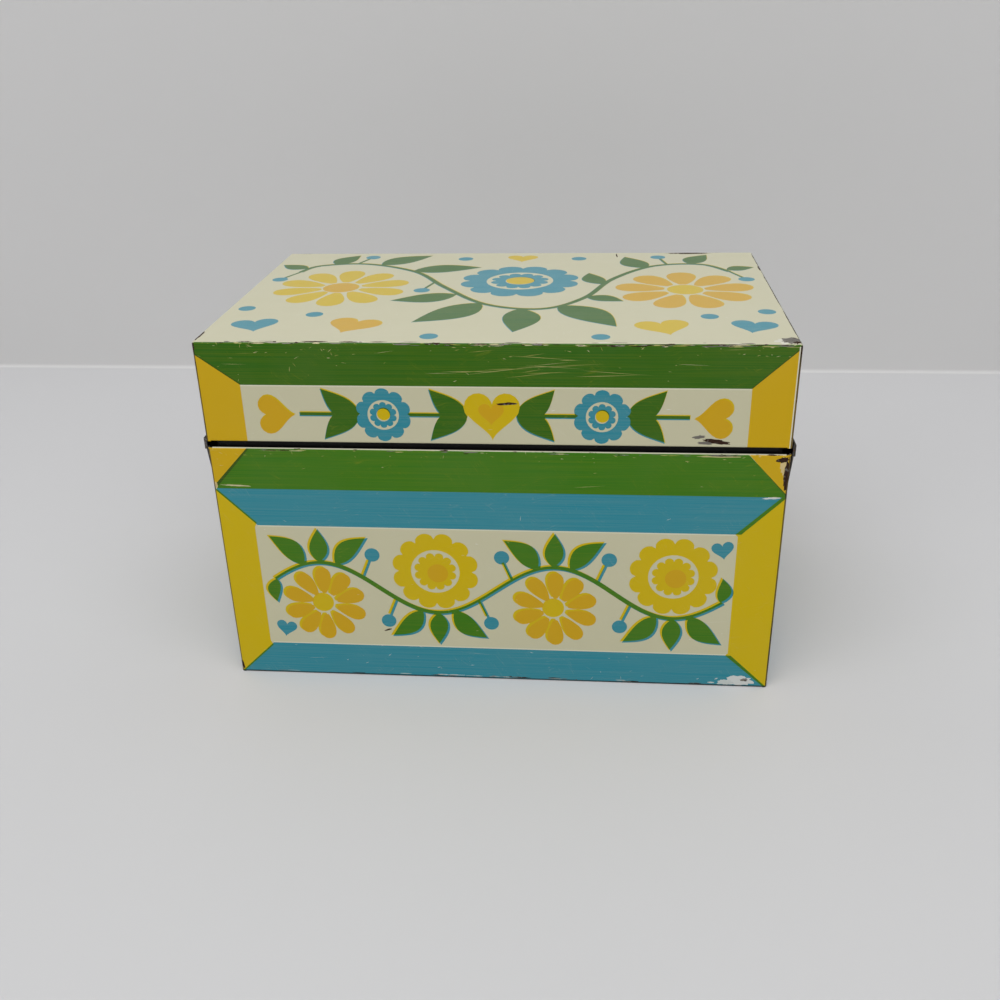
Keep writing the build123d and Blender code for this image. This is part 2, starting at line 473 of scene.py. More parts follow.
@dataclass(frozen=True)
class Panel:
    """One flat printed face and the directions in which its drawing lies.

    Attributes:
        name: Its name.
        normal: Direction that it faces.
        right: Direction of the drawing's X.
        up: Direction of the drawing's Y.
        reach: Its left and right edge are this far from the middle.
        low: Its lower edge.
        high: Its upper edge.
        artwork: Its print.
        cuts_right: Places across it where the border's colour changes on the folds.
        cuts_up: The same places up it.
    """

    name: str
    normal: Place
    right: Place
    up: Place
    reach: float
    low: float
    high: float
    artwork: Artwork
    cuts_right: tuple[float, ...] = ()
    cuts_up: tuple[float, ...] = ()

    def flat(self, place: Vector) -> Point:
        """Place on the drawing, in millimetres."""
        return (place.dot(Vector(self.right)) / MM, place.dot(Vector(self.up)) / MM)

    def frame_inks(self, point: Point) -> dict[Plate, float]:
        """Border inks at a point, taken inside the panel's edges.

        Args:
            point: Place on the drawing.

        Returns:
            Amount of each plate.
        """
        inset = 0.12
        u = min(max(point[0], -self.reach + inset), self.reach - inset)
        v = min(max(point[1], self.low + inset), self.high - inset)
        amounts: dict[Plate, float] = {}
        for patch in self.artwork.frames:
            if inside(patch.outline, u, v):
                amounts[patch.plate] = patch.amount
        return amounts


def ring_area(outline: Sequence[Point]) -> float:
    """Area of an outline, negative if it runs clockwise."""
    return sum(a[0] * b[1] - b[0] * a[1] for a, b in zip(outline, outline[1:] + outline[:1])) / 2


def inside(outline: Outline, x: float, y: float) -> bool:
    """Tell whether a point is inside an outline.

    Args:
        outline: The closed outline.
        x: The point's X.
        y: The point's Y.

    Returns:
        True if it is inside.
    """
    odd = False
    for (x0, y0), (x1, y1) in zip(outline, outline[1:] + outline[:1]):
        if (y0 > y) != (y1 > y) and x < x0 + (y - y0) / (y1 - y0) * (x1 - x0):
            odd = not odd
    return odd


def face_plane(face: bmesh.types.BMFace) -> tuple[np.ndarray, np.ndarray]:
    """Find the plane of a face, exactly enough for one that is long and thin.

    Args:
        face: The face.

    Returns:
        Its middle and its normal.
    """
    ring = np.array([v.co[:] for v in face.verts], dtype=float)
    middle = ring.mean(axis=0)
    arms = ring - middle
    normal = np.cross(arms, np.roll(arms, -1, axis=0)).sum(axis=0)
    return middle, normal / np.linalg.norm(normal)


# ---- Wear of the panels -------------------------------------------------------------------
# A table's keys are a panel's name and whether it is the lid's. A mark has its middle, width,
# height, turn in degrees and depth.

Marks = dict[tuple[str, bool], tuple[tuple[float, ...], ...]]

CHIPPED: Marks = {
    ("front", True): (
        (3.4, 74.4, 5.6, 0.8, 4, 1.0),
        (50.0, 65.9, 7.4, 1.3, -6, 0.9),
        (46.2, 67.0, 3.4, 1.0, 8, 0.55),
        (47.4, 65.5, 4.2, 0.9, -4, 0.6),
        (-66.5, 87.2, 0.8, 3.6, 0, 1.0),
        (66.6, 87.4, 0.6, 3.0, 0, 1.0),
        (-66.5, 83.0, 0.35, 3.0, 0, 1.0),
    ),
    ("front", False): (
        (66.0, 58.0, 1.3, 9.0, 0, 1.0),
        (65.0, 61.7, 3.4, 1.5, 12, 1.0),
        (51.5, 62.5, 7.0, 0.5, 0, 0.7),
        (-27.5, 13.9, 2.4, 0.6, 20, 1.0),
        (61.0, 2.1, 2.2, 0.9, 10, 0.5),
        (61.4, 1.8, 0.9, 0.4, 0, 1.0),
        (66.6, 2.0, 0.4, 3.4, 0, 1.0),
        (-66.3, 2.4, 0.9, 3.6, 12, 1.0),
    ),
    ("top", True): (
        (49.0, 41.2, 15.0, 1.7, 0, 1.0),
        (39.0, 42.1, 8.0, 0.5, 0, 0.8),
        (66.4, -28.0, 0.4, 30.0, 0, 0.9),
        (66.4, -2.0, 0.4, 34.0, 0, 0.9),
        (66.4, 30.0, 0.4, 32.0, 0, 0.8),
        (66.3, 24.0, 0.8, 6.0, 0, 1.0),
        (66.4, 13.0, 0.5, 9.0, 0, 0.8),
        (64.6, -39.9, 5.4, 5.0, 14, 0.72),
        (65.6, -41.4, 2.4, 1.8, 0, 1.0),
        (-66.2, -38.2, 1.0, 8.6, 0, 0.9),
        (-39.0, -42.0, 7.5, 0.45, 0, 1.0),
        (-31.0, -42.1, 5.0, 0.35, 0, 0.9),
        (28.6, 38.6, 0.5, 5.0, 3, 1.0),
        (-62.0, 42.0, 6.0, 0.6, 0, 0.8),
    ),
    ("right", True): ((-41.9, 87.3, 1.0, 2.6, 0, 1.0), (41.6, 86.5, 1.4, 2.6, 0, 1.0)),
    ("right", False): ((-42.0, 58.0, 0.8, 7.0, 0, 1.0), (41.8, 3.0, 1.0, 2.4, 0, 1.0)),
    ("left", True): ((42.0, 87.2, 0.9, 3.0, 0, 1.0), (10.0, 88.1, 14.0, 0.4, 0, 0.8)),
    ("left", False): ((41.9, 60.0, 0.9, 3.4, 0, 1.0), (-20.0, 0.6, 4.0, 0.6, 0, 1.0)),
    ("back", True): ((-50.0, 88.1, 12.0, 0.6, 0, 1.0), (20.0, 88.1, 5.0, 0.4, 0, 0.8)),
    ("back", False): ((60.0, 0.8, 5.0, 0.8, 0, 1.0), (-66.3, 20.0, 0.6, 4.0, 0, 1.0)),
}

RUBBED: Marks = {
    ("front", False): (
        (59.6, 1.7, 8.4, 3.6, -4, 1.0),
        (56.4, 1.2, 4.6, 2.0, 0, 0.9),
        (54.2, 2.2, 1.0, 0.4, 30, 0.8),
        (53.0, 1.0, 2.2, 0.5, 0, 0.9),
        (-61.0, 53.2, 8.4, 0.45, -2, 1.0),
        (-66.0, 53.2, 1.0, 2.4, 0, 1.0),
        (63.4, 52.2, 5.0, 0.6, 4, 1.0),
        (65.3, 60.2, 1.8, 5.2, 0, 1.0),
        (51.0, 62.3, 11.0, 0.6, 0, 0.8),
    ),
    ("top", True): ((63.8, -40.2, 6.6, 4.2, 12, 0.5),),
}

# Broken lines of wear along the folds: their start, end, height, spread and number of marks.
FOLD_WEAR: Marks = {
    ("front", True): (
        (-62.0, -20.0, 88.2, 0.08, 10),
        (-20.0, 2.0, 88.0, 0.16, 26),
        (2.0, 17.0, 88.1, 0.10, 10),
        (17.0, 34.0, 88.0, 0.14, 20),
        (34.0, 66.0, 88.05, 0.13, 34),
    ),
    ("front", False): (
        (-60.0, 60.0, 62.5, 0.14, 26),
        (-18.0, 16.0, 0.75, 0.10, 22),
        (-60.0, 50.0, 0.7, 0.10, 16),
    ),
    ("top", True): (
        (-62.0, 64.0, -42.05, 0.10, 26),
        (-60.0, 62.0, 42.1, 0.10, 24),
    ),
    ("right", True): ((-40.0, 40.0, 88.0, 0.15, 34),),
    ("left", True): ((-40.0, 40.0, 88.0, 0.15, 30),),
    ("back", True): ((-62.0, 62.0, 88.05, 0.15, 40),),
    ("right", False): ((-40.0, 40.0, 0.7, 0.1, 16),),
    ("left", False): ((-40.0, 40.0, 0.7, 0.1, 16),),
    ("back", False): ((-60.0, 60.0, 0.7, 0.1, 22),),
}


# ---- Drawings of the panels ---------------------------------------------------------------


@dataclass
class PrintDesign:
    """The mitred borders and the flower pattern of every panel of the box.

    Attributes:
        half_width: Half of the printed faces' width.
        half_depth: Half of their depth.
        base_high: Head of the base's walls.
        lid_low: Foot of the lid's walls.
        lid_high: Top of the lid.
        border: Width of the base's upright bands.
        green_low: Lower edge of the base's green band.
        blue_low: Lower edge of the blue band under it.
        foot_high: Upper edge of the blue band along the foot.
        lid_border: Width of the lid's upright bands.
        lid_green_low: Lower edge of the lid's green band.
        lid_shoulders: How far below the top that band starts, left and right.
        bleed: How far bands run past the ends of a wall.
        trap: How far a band's corner is cut off where it would show on the cream.
        over: How far a band runs on under its neighbour.
        under: How far it stops short of a wall's end.
        gap_line: Half the width of the pale lines along the level bands.
        lid_change: How far below the top the colour changes on the lid's upright folds.
        foot_change: Height at which it changes at the foot of the base's.
        base_slips: How far each plate is out of register on the base.
        base_border_slips: How far to the side the base's bands are.
        lid_slips: How far each plate is out of register on the lid.
    """

    half_width: float = in_mm(LID_REACH.x)
    half_depth: float = in_mm(LID_REACH.y)
    base_high: float = 62.9
    lid_low: float = 64.5
    lid_high: float = in_mm(LID_REACH.z)
    border: float = 9.5
    green_low: float = 52.4
    blue_low: float = 42.7
    foot_high: float = 9.15
    lid_border: float = 9.9
    lid_green_low: float = 78.4
    lid_shoulders: Point = (3.0, 1.0)
    bleed: float = 3.0
    trap: float = 0.6
    over: float = 0.3
    under: float = 0.2
    gap_line: float = 0.3
    lid_change: float = 2.75
    foot_change: float = 0.4
    base_slips: dict[Plate, Point] = field(
        default_factory=lambda: {Plate.YELLOW: (-0.5, 0.36), Plate.ORANGE: (0.1, -0.1)}
    )
    base_border_slips: dict[Tint, float] = field(
        default_factory=lambda: {Tint.YELLOW: -0.75, Tint.AMBER: 0.35}
    )
    lid_slips: dict[Plate, Point] = field(
        default_factory=lambda: {Plate.YELLOW: (0.12, 0.26), Plate.ORANGE: (-0.1, 0.0)}
    )

    def _gap(self, art: Artwork, inner: float, heights: Sequence[float]) -> None:
        """Leave pale lines where the level bands stop short of the cream field.

        Args:
            art: Print of the wall.
            inner: Half of the cream field's length.
            heights: Heights of the lines.
        """
        for y in heights:
            art.mark(box((-inner, inner), (y - self.gap_line, y + self.gap_line)), Plate.BUFF, 1.0)

    def base_borders(self, art: Artwork, half: float) -> None:
        """Draw the bands of one wall of the base.

        Args:
            art: Print of the wall.
            half: Half of the wall's length.
        """
        far = half + self.bleed
        inner = half - self.border
        low, high = -1, self.base_high + 1
        t, over, under = self.trap, self.over, self.under
        # The left side reaches under the blue in spite of the slip, by run, rise and tuck.
        for s, run, rise, tuck in ((-1, 1.35, 0.95, 0.75), (1, 0.0, 0.0, 0.0)):
            side = [(s * far, self.green_low + t), (s * far, low)]
            side += [(s * (half + over) + run, -over), (s * (inner - t), self.foot_high - tuck)]
            side += [(s * inner, self.foot_high + t), (s * inner, self.blue_low - t)]
            side += [(s * (inner - t), self.blue_low + tuck)]
            side += [(s * (half - under) + rise, self.green_low + under)]
            art.band(side, Tint.YELLOW)
            wedge = [(s * far, high), (s * (inner - 1), high), (s * (half - over), self.green_low)]
            wedge += [(s * far, self.green_low)]
            art.band(wedge, Tint.AMBER)
        lap, rise = self.foot_change, 0.25
        green = [(-half - lap, self.green_low), (half + lap, self.green_low)]
        green += [(inner - 2 * lap, high), (-inner + 2 * lap, high)]
        art.band(green, Tint.GREEN)
        blue = [(-far, self.green_low), (-half, self.green_low), (-inner, self.blue_low)]
        blue += [(inner, self.blue_low), (half, self.green_low), (far, self.green_low)]
        blue += [(far, self.green_low + rise), (-far, self.green_low + rise)]
        art.band(blue, Tint.BLUE)
        toe = half - 0.5
        foot = [(-far, low), (far, low), (far, lap), (toe, lap), (inner, self.foot_high)]
        foot += [(-inner, self.foot_high), (-toe, lap), (-far, lap)]
        art.band(foot, Tint.BLUE)
        self._gap(art, inner, (self.foot_high, self.blue_low))

    def lid_borders(self, art: Artwork, half: float) -> None:
        """Draw the bands of one wall of the lid.

        Args:
            art: Print of the wall.
            half: Half of the wall's length.
        """
        far = half + self.bleed
        end = half - self.under
        inner = half - self.lid_border
        low, high = self.lid_low - 1, self.lid_high + 1
        left, right = (self.lid_high - drop for drop in self.lid_shoulders)
        for s, shoulder in ((-1, left), (1, right)):
            head = shoulder + self.over
            side = [(s * far, low), (s * far, head), (s * end, head)]
            side += [(s * inner, self.lid_green_low + self.over), (s * inner, low)]
            art.band(side, Tint.AMBER)
        green = [(-far, high), (-far, left), (-end, left)]
        green += [(-inner, self.lid_green_low), (inner, self.lid_green_low)]
        green += [(end, right), (far, right), (far, high)]
        art.band(green, Tint.GREEN)
        self._gap(art, inner, (self.lid_green_low,))

    def vine(self, art: Artwork, flip: int) -> None:
        """Draw a waving vine with a large flower in each bend, on a long wall of the base.

        Args:
            art: Print of the wall.
            flip: 1 where the first bend is upwards, else -1.
        """
        centre, swing, period = 25.9, 6.7, 57.0
        start, pitch, count = -54.5, 2.725, 41

        def wave(x: float) -> Point:
            """Place on the vine's middle line."""
            return (x, centre + flip * swing * math.sin(FULL_TURN * x / period))

        art.lay(stem([wave(start + pitch * k) for k in range(count)], 1.2, 1.0), Tint.GREEN)
        berry_at, berry_size, last_berry = 10.2, 1.85, 50
        for k in range(4):
            x = (k - 1.5) * period / 2
            up = flip * (-1 if k % 2 else 1)
            # Leaves fan from the back of each bend, on the side away from its flower.
            for turn, reach, size, bow in (
                (90, 0.0, (9.4, 5.0), 0.0),
                (42, 3.6, (11.5, 5.2), 0.08),
                (138, -3.6, (11.5, 5.2), -0.08),
            ):
                art.lay(leaf(wave(x + reach), turn * up, *size, bow=bow * up), Tint.GREEN)
            for side in (-1, 1):
                root = wave(x + side * berry_at)
                if abs(root[0]) < last_berry:
                    tip = (root[0] + side * 2.6, root[1] + up * 6.4)
                    art.lay(stem([root, tip], 0.7, 1.0), Tint.GREEN)
                    art.lay(disc(tip, berry_size), Tint.BLUE, over=True)
            middle = (x, centre - up * 4.7)
            if k % 2 == 0:
                art.daisy(middle, 10.3, 10, Tint.ORANGE, Tint.YELLOW)
            else:
                art.rosette(middle, 10.6, 12, Tint.YELLOW, Tint.ORANGE)
        end_leaf, end_heart = 54.2, (53.4, 12.4)
        for side in (-1, 1):
            up = -side * flip
            art.lay(leaf(wave(side * end_leaf), -92 * up, 7.0, 3.8, side * up * 0.1), Tint.GREEN)
            place = (side * end_heart[0], centre - up * end_heart[1])
            art.lay(heart(place, 5.2, side * 10), Tint.BLUE)

    def garland(self, art: Artwork, places: Sequence[float]) -> None:
        """Hearts and rosettes with leaves between them, for a wall of the lid.

        Args:
            art: Print of the wall.
            places: Places of the motifs on one side of the middle, from the middle on.
        """
        mid = (self.lid_low + self.lid_green_low) / 2
        room = 6.3
        for side in (-1, 1):
            for x, after in zip(places, places[1:]):
                root = (side * (x + room - 0.8), mid)
                tip = (side * (after - room + 1.0), mid)
                art.lay(stem([root, tip], 1.0, 1.0), Tint.GREEN)
                for turn in (-36, 36):
                    heading = turn if side > 0 else 180 - turn
                    art.lay(leaf(root, heading, 10.6, 5.0, -side * turn / 400), Tint.GREEN)
        for k, x in enumerate(places):
            for side in (-1, 1) if k else (1,):
                at = (side * x, mid)
                if k % 2:
                    art.rosette(at, 6.4, 10, Tint.BLUE, Tint.YELLOW)
                elif k:
                    art.lay(heart((at[0], mid - 0.2), 9.4, -side * 90), Tint.ORANGE, over=True)
                else:
                    art.lay(heart((0, mid - 0.3), 12.6), Tint.YELLOW, over=True)
                    art.lay(heart((0, mid + 0.4), 5.8), Tint.ORANGE, over=True)

    def side_spray(self, art: Artwork) -> None:
        """Draw one flower between two leafy stems, on a short wall of the base.

        Args:
            art: Print of the wall.
        """
        centre = (0.0, 25.9)
        for side in (-1, 1):
            points = [(side * 7, 19), (side * 15, 16.2), (side * 24, 21), (side * 28, 31)]
            art.sprig(points, (9.8, 4.8), 4, 1.8)
            art.lay(disc((side * 13.5, 35.4), 1.9), Tint.BLUE)
            art.lay(heart((side * 19, 27.4), 6.4), Tint.ORANGE)
        art.rosette(centre, 11.4, 12, Tint.YELLOW, Tint.ORANGE)

    def top_scroll(self, art: Artwork) -> None:
        """Draw a large scrolling stem with three round flowers, on the lid's top.

        Args:
            art: Print of the top.
        """
        path = [(-58, 20), (-54, 27), (-41, 29), (-26, 20), (-16, 4), (-4, -12), (10, -16)]
        path += [(20, -6), (27, 12), (38, 26), (51, 28), (58, 20)]
        art.lay(stem(path, 1.5, 1.0), Tint.GREEN)
        leaves = (
            ((-50, 28.4), 66, 12, 6.4),
            ((-37, 28.0), 40, 17, 8.0),
            ((-27, 21), 12, 19, 8.4),
            ((-57, 24), 152, 9, 5.4),
            ((-12, -3), 200, 17, 8.0),
            ((-5, -11), 228, 22, 10.0),
            ((5, -15.8), 268, 19, 9.0),
            ((14, -13), 308, 22, 10.0),
            ((20.5, -5), 335, 10, 5.6),
            ((24, 7), 105, 12, 6.0),
            ((36, 24), 112, 14, 7.4),
            ((48, 28.6), 62, 12, 6.4),
            ((57.5, 22), 20, 8, 5.0),
        )
        bow, berry = 0.05, 2.1
        for root, heading, length, width in leaves:
            art.lay(leaf(root, heading, length, width, bow), Tint.GREEN)
        for root, tip in (
            ((-58, 20), (-61.5, 12)),
            ((58, 20), (61.5, 12)),
            ((-44, 29.2), (-41, 37)),
            ((42, 28), (40, 36.5)),
            ((-19, 10), (-21.5, 1.0)),
        ):
            art.lay(stem([root, tip], 0.8, 1.0), Tint.GREEN)
            art.lay(disc(tip, berry), Tint.BLUE, over=True)
        art.daisy((-43, 3.5), 17.6, 10, Tint.YELLOW, Tint.ORANGE)
        art.rosette((3, 10.5), 15.6, 12, Tint.BLUE, Tint.YELLOW)
        art.daisy((45, 1.5), 17.4, 9, Tint.ORANGE, Tint.YELLOW)
        for x, y, size, turn, tint in (
            (-56, -30, 11.0, 14, Tint.BLUE),
            (-33, -30, 12.5, -14, Tint.ORANGE),
            (38, -31, 12.5, 12, Tint.YELLOW),
            (58, -30, 10.5, -12, Tint.BLUE),
            (2, 35, 8.6, 0, Tint.YELLOW),
        ):
            art.lay(heart((x, y), size, turn), tint)
        spots = [(-44, -21), (-62, -16), (49, -22), (62.5, -18)]
        spots += [(-14, 35), (18, 35), (-14, -38), (24, -38)]
        for spot in spots:
            art.lay(disc(spot, berry), Tint.BLUE)

    def wear(self, art: Artwork, seed: int, region: Sequence[float], count: int) -> None:
        """Draw short pale scratches, most of them nearly level, and a few long ones.

        Args:
            art: Print of the panel.
            seed: Seed of the places.
            region: Left, right, low and high limits of the places.
            count: Number of scratches.
        """
        level_share, long_share, hair = 0.7, 0.1, 0.07
        rng = random.Random(seed)
        for _ in range(count):
            centre = (rng.uniform(*region[:2]), rng.uniform(*region[2:]))
            turn = rng.gauss(0, 12) if rng.random() < level_share else rng.uniform(0, 180)
            length, thick = rng.uniform(0.25, 1.4), rng.uniform(hair, 0.17)
            if rng.random() < long_share:
                length, thick, turn = rng.uniform(3.0, 9.0), hair, rng.gauss(3, 4)
            art.mark(sliver(centre, length, thick, turn), Plate.SCUFF, rng.uniform(0.4, 1.0))

    def long_scratches(self, art: Artwork, seed: int, region: Sequence[float]) -> None:
        """Draw long, thin and nearly level scratches, where something slid along the lid.

        Args:
            art: Print of the panel.
            seed: Seed of the places.
            region: Left, right, low and high limits of the places.
        """
        count = 16
        rng = random.Random(seed)
        for _ in range(count):
            centre = (rng.uniform(*region[:2]), rng.uniform(*region[2:]))
            length, thick, turn = rng.uniform(4, 17), rng.uniform(0.09, 0.15), rng.gauss(2, 4)
            art.mark(sliver(centre, length, thick, turn), Plate.SCUFF, rng.uniform(0.35, 0.8))

    def panels(self, lid: bool) -> list[Panel]:
        """Build the printed panels of the lid or of the base.

        Args:
            lid: True for the lid.

        Returns:
            The panels, walls first.
        """
        w, d = self.half_width, self.half_depth
        right, left, back, front, up = (1, 0, 0), (-1, 0, 0), (0, 1, 0), (0, -1, 0), (0, 0, 1)
        walls = (
            ("front", front, right, w),
            ("back", back, left, w),
            ("left", left, front, d),
            ("right", right, back, d),
        )
        panels: list[Panel] = []
        for seed, (name, normal, along, half) in enumerate(walls):
            if lid:
                art = self.lid_wall(half, seed)
                inner, low, high = half - self.lid_border, self.lid_low, self.lid_high
                cuts_up = (high - self.lid_change,)
            else:
                art = self.base_wall(name, half, seed)
                inner, low, high = half - self.border, 0.0, self.base_high
                cuts_up = (self.green_low + self.over, self.foot_change)
            self.corner_lines(art, half, low, high, lid)
            self.chips(art, name, lid)
            cuts = ((-inner, inner), cuts_up)
            panels.append(Panel(name, normal, along, up, half, low, high, art, *cuts))
        if lid:
            art = Artwork(self.lid_slips)
            self.top_scroll(art)
            self.wear(art, seed=80, region=(-w, w, -d, d), count=46)
            self.chips(art, "top", lid)
            panels.append(Panel("top", up, right, back, w, -d, d, art))
        return panels

    def lid_wall(self, half: float, seed: int) -> Artwork:
        """Draw one wall of the lid, without its chips and corners.

        Args:
            half: Half of the wall's length.
            seed: The wall's number, for its scratches.

        Returns:
            The print.
        """
        art = Artwork(self.lid_slips)
        green, high = self.lid_green_low, self.lid_high
        pitch, count = (24.6, 3) if half == self.half_width else (22.6, 2)
        self.lid_borders(art, half)
        self.garland(art, [k * pitch for k in range(count)])
        # Each row: first seed, lower and upper limit, and scratches per millimetre.
        for first, low, top, share in (
            (40, green + 1, high, 0.6),
            (45, high - 3.0, high, 0.8),
            (50, self.lid_low, green, 0.08),
        ):
            self.wear(art, first + seed, (-half, half, low, top), int(half * share))
        self.long_scratches(art, 55 + seed, (-0.1 * half, 0.7 * half, green + 2, high - 1.6))
        return art

    def base_wall(self, name: str, half: float, seed: int) -> Artwork:
        """Draw one wall of the base, without its chips and corners.

        Args:
            name: Name of the wall.
            half: Half of the wall's length.
            seed: The wall's number, for its scratches.

        Returns:
            The print.
        """
        art = Artwork(self.base_slips, self.base_border_slips)
        self.base_borders(art, half)
        if half == self.half_width:
            self.vine(art, 1 if name == "front" else -1)
        else:
            self.side_spray(art)
        # Each row: first seed, lower and upper limit, and scratches per millimetre.
        for first, low, top, share in (
            (60, self.green_low, self.base_high, 0.2),
            (65, self.base_high - 2.2, self.base_high, 0.5),
            (70, 0, self.green_low, 0.3),
            (75, 0, self.foot_high, 0.35),
        ):
            self.wear(art, first + seed, (-half, half, low, top), int(half * share))
        return art

    def corner_lines(self, art: Artwork, half: float, low: float, high: float, lid: bool) -> None:
        """Draw dark lines on the upright corners, and painted shade with soiling on a foot.

        Args:
            art: Print of the wall.
            half: Half of the wall's length.
            low: Foot of the wall.
            high: Head of the wall.
            lid: True for a wall of the lid.
        """
        thick, pale_start, pale_end = 0.5, 0.75, 0.48
        if lid:
            art.leave_bare_coat((half - pale_start, half - pale_end), (low, high - 0.6))
        for side in (-1, 1):
            line = box((side * (half - thick), side * half), (low, high - 0.4))
            art.mark(line, Plate.GRIME_AND_SHADE, 1.0)
        # Along the base's foot: a dark line of painted contact shadow, with some soiling.
        if not lid:
            art.mark(box((-half, half), (-0.2, thick)), Plate.GRIME_AND_SHADE, 1.0)

    def chips(self, art: Artwork, name: str, lid: bool) -> None:
        """Draw chips down to the sheet, where the box was knocked and rubbed.

        Args:
            art: Print of the panel.
            name: Name of the panel.
            lid: True for the lid.
        """
        rng = random.Random(f"{name}{lid}")
        for plate, table in ((Plate.SCUFF, RUBBED), (Plate.BARE, CHIPPED)):
            for x, y, width, height, turn, amount in table.get((name, lid), ()):
                art.mark(blot(rng, (x, y), (width, height), turn), plate, amount)
        for start, end, y, spread, count in FOLD_WEAR.get((name, lid), ()):
            for k in range(count):
                size = (rng.uniform(0.6, 4.6), rng.uniform(0.12, 0.34))
                place = (rng.uniform(start, end), y + rng.gauss(0, spread))
                # Three in five reach the sheet.
                plate = Plate.BARE if k % 5 < 3 else Plate.SCUFF
                art.mark(blot(rng, place, size), plate, rng.choice((0.5, 0.7, 1.0)))


# ---- Sheet with its print -----------------------------------------------------------------
# How near two corners of the mesh are one, in metres.

NEAR_IN_CAD = 1e-6
NEAR_ON_PANEL = 5e-7
NEAR_AT_END = 3e-7
NEAR_ON_RIM = 6e-6
NO_LENGTH = 2e-7
ON_CUT = 1e-7

# The same on a drawing, in millimetres: between corners, and across and along a rim.
NEAR_ON_DRAWING = 1e-5
OFF_RIM = 5e-4
ALONG_RIM = 2e-4
NO_RUN = 1e-6


@dataclass
class PrintedSheet:
    """A shell of the box, redrawn so that the print's outlines are edges of its faces.

    Attributes:
        node: The CAD node that it stands for.
        body: The body that it rides on.
        name: Its name.
        panels: Its printed panels, the four walls first.
        fold_angle: Least angle of a sharp fold.
        flat_angle: Greatest angle at which a face counts as flat on its panel.
        facing: Least share of a printed face's normal that is its panel's.
        sheet: Thickness of the sheet.
        depth_range: How far outside and inside its panel's plane a printed face may be.
    """

    node: str
    body: str
    name: str
    panels: list[Panel]
    fold_angle: float = math.radians(40)
    flat_angle: float = math.radians(1)
    facing: float = 0.7
    sheet: float = 0.3
    depth_range: Point = (-0.8, 0.25)

    def build(self) -> bpy.types.Object:
        """Make the piece and let it stand for its CAD node.

        Returns:
            The piece.
        """
        bm = bmesh.new()
        bm.from_mesh(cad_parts[self.node].data)
        bmesh.ops.remove_doubles(bm, verts=bm.verts, dist=NEAR_IN_CAD)
        bm.normal_update()
        self.skin = bm.faces.layers.int.new("skin")
        self.side = bm.faces.layers.int.new("side")
        self.bent = bm.faces.layers.int.new("bent")
        self.plates = {plate: bm.faces.layers.float.new(plate.value) for plate in Plate}
        self._find_skins(bm)
        self._find_sides(bm)
        self._cut_wraps(bm)
        for index, panel in enumerate(self.panels):
            self._print_panel(bm, index + 1, panel)
        self._ink_wraps(bm)
        self._close(bm)
        return self._finish(bm)

    def _close(self, bm: bmesh.types.BMesh) -> None:
        """Join the new faces to their neighbours, so that the mesh has no open edge.

        Args:
            bm: The shell.
        """
        loose = [e for e in bm.edges if not e.link_faces]
        bmesh.ops.delete(bm, geom=loose, context="EDGES")
        bmesh.ops.remove_doubles(bm, verts=bm.verts, dist=NEAR_AT_END)
        bmesh.ops.dissolve_degenerate(bm, edges=bm.edges, dist=NO_LENGTH)
        rims = {v: None for e in bm.edges if len(e.link_faces) == 1 for v in e.verts}
        bmesh.ops.remove_doubles(bm, verts=list(rims), dist=NEAR_ON_RIM)
        slits = [e for e in bm.edges if len(e.link_faces) == 1]
        most_sides = 8
        for face in bmesh.ops.holes_fill(bm, edges=slits, sides=most_sides)["faces"]:
            face[self.skin], face[self.bent] = Skin.PRINT, 1

    def _regions(self, bm: bmesh.types.BMesh) -> list[list[bmesh.types.BMFace]]:
        """Group the faces between sharp folds.

        Args:
            bm: The shell.

        Returns:
            The groups.
        """
        seen: set[bmesh.types.BMFace] = set()
        regions: list[list[bmesh.types.BMFace]] = []
        for first in bm.faces:
            if first in seen:
                continue
            seen.add(first)
            region, queue = [], [first]
            while queue:
                face = queue.pop()
                region.append(face)
                for edge in face.edges:
                    if len(edge.link_faces) == 2 and edge.calc_face_angle(0) < self.fold_angle:
                        for other in edge.link_faces:
                            if other not in seen:
                                seen.add(other)
                                queue.append(other)
            regions.append(region)
        return regions

    def _find_skins(self, bm: bmesh.types.BMesh) -> None:
        """Tell the printed side, the lacquered side and the sheet's cut edges apart.

        Args:
            bm: The shell.
        """
        regions = self._regions(bm)
        areas = [sum(f.calc_area() for f in region) for region in regions]
        widest_edge = 1.1 * self.sheet * MM
        for region, area in zip(regions, areas):
            members = set(region)
            rim = [e for f in region for e in f.edges if not members.issuperset(e.link_faces)]
            width = 2 * area / sum(e.calc_length() for e in rim)
            kind = Skin.EDGE if width < widest_edge else Skin.LACQUER
            if area == max(areas):
                kind = Skin.PRINT
            for face in region:
                face[self.skin] = kind
                face.material_index = kind

    def _find_sides(self, bm: bmesh.types.BMesh) -> None:
        """Number the printed faces by their panel, with a minus where the sheet turns away.

        Args:
            bm: The shell.
        """
        walls = range(4)
        outer = (self.panels[0].reach, self.panels[2].reach, self.panels[0].high)
        outermost, innermost = self.depth_range
        for face in bm.faces:
            face[self.bent] = 1
            if face[self.skin] != Skin.PRINT:
                continue
            centre = face.calc_center_median()
            depths, facings = [], []
            for panel in self.panels:
                normal = Vector(panel.normal)
                plane = sum(abs(a) * b for a, b in zip(panel.normal, outer))
                depths.append(plane - centre.dot(normal) / MM)
                facings.append(face.normal.dot(normal))
            face[self.side] = -(min(walls, key=lambda k: abs(depths[k])) + 1)
            best = facings.index(max(facings))
            if facings[best] > self.facing and outermost < depths[best] < innermost:
                face[self.side] = best + 1
                face[self.bent] = int(facings[best] < math.cos(self.flat_angle))

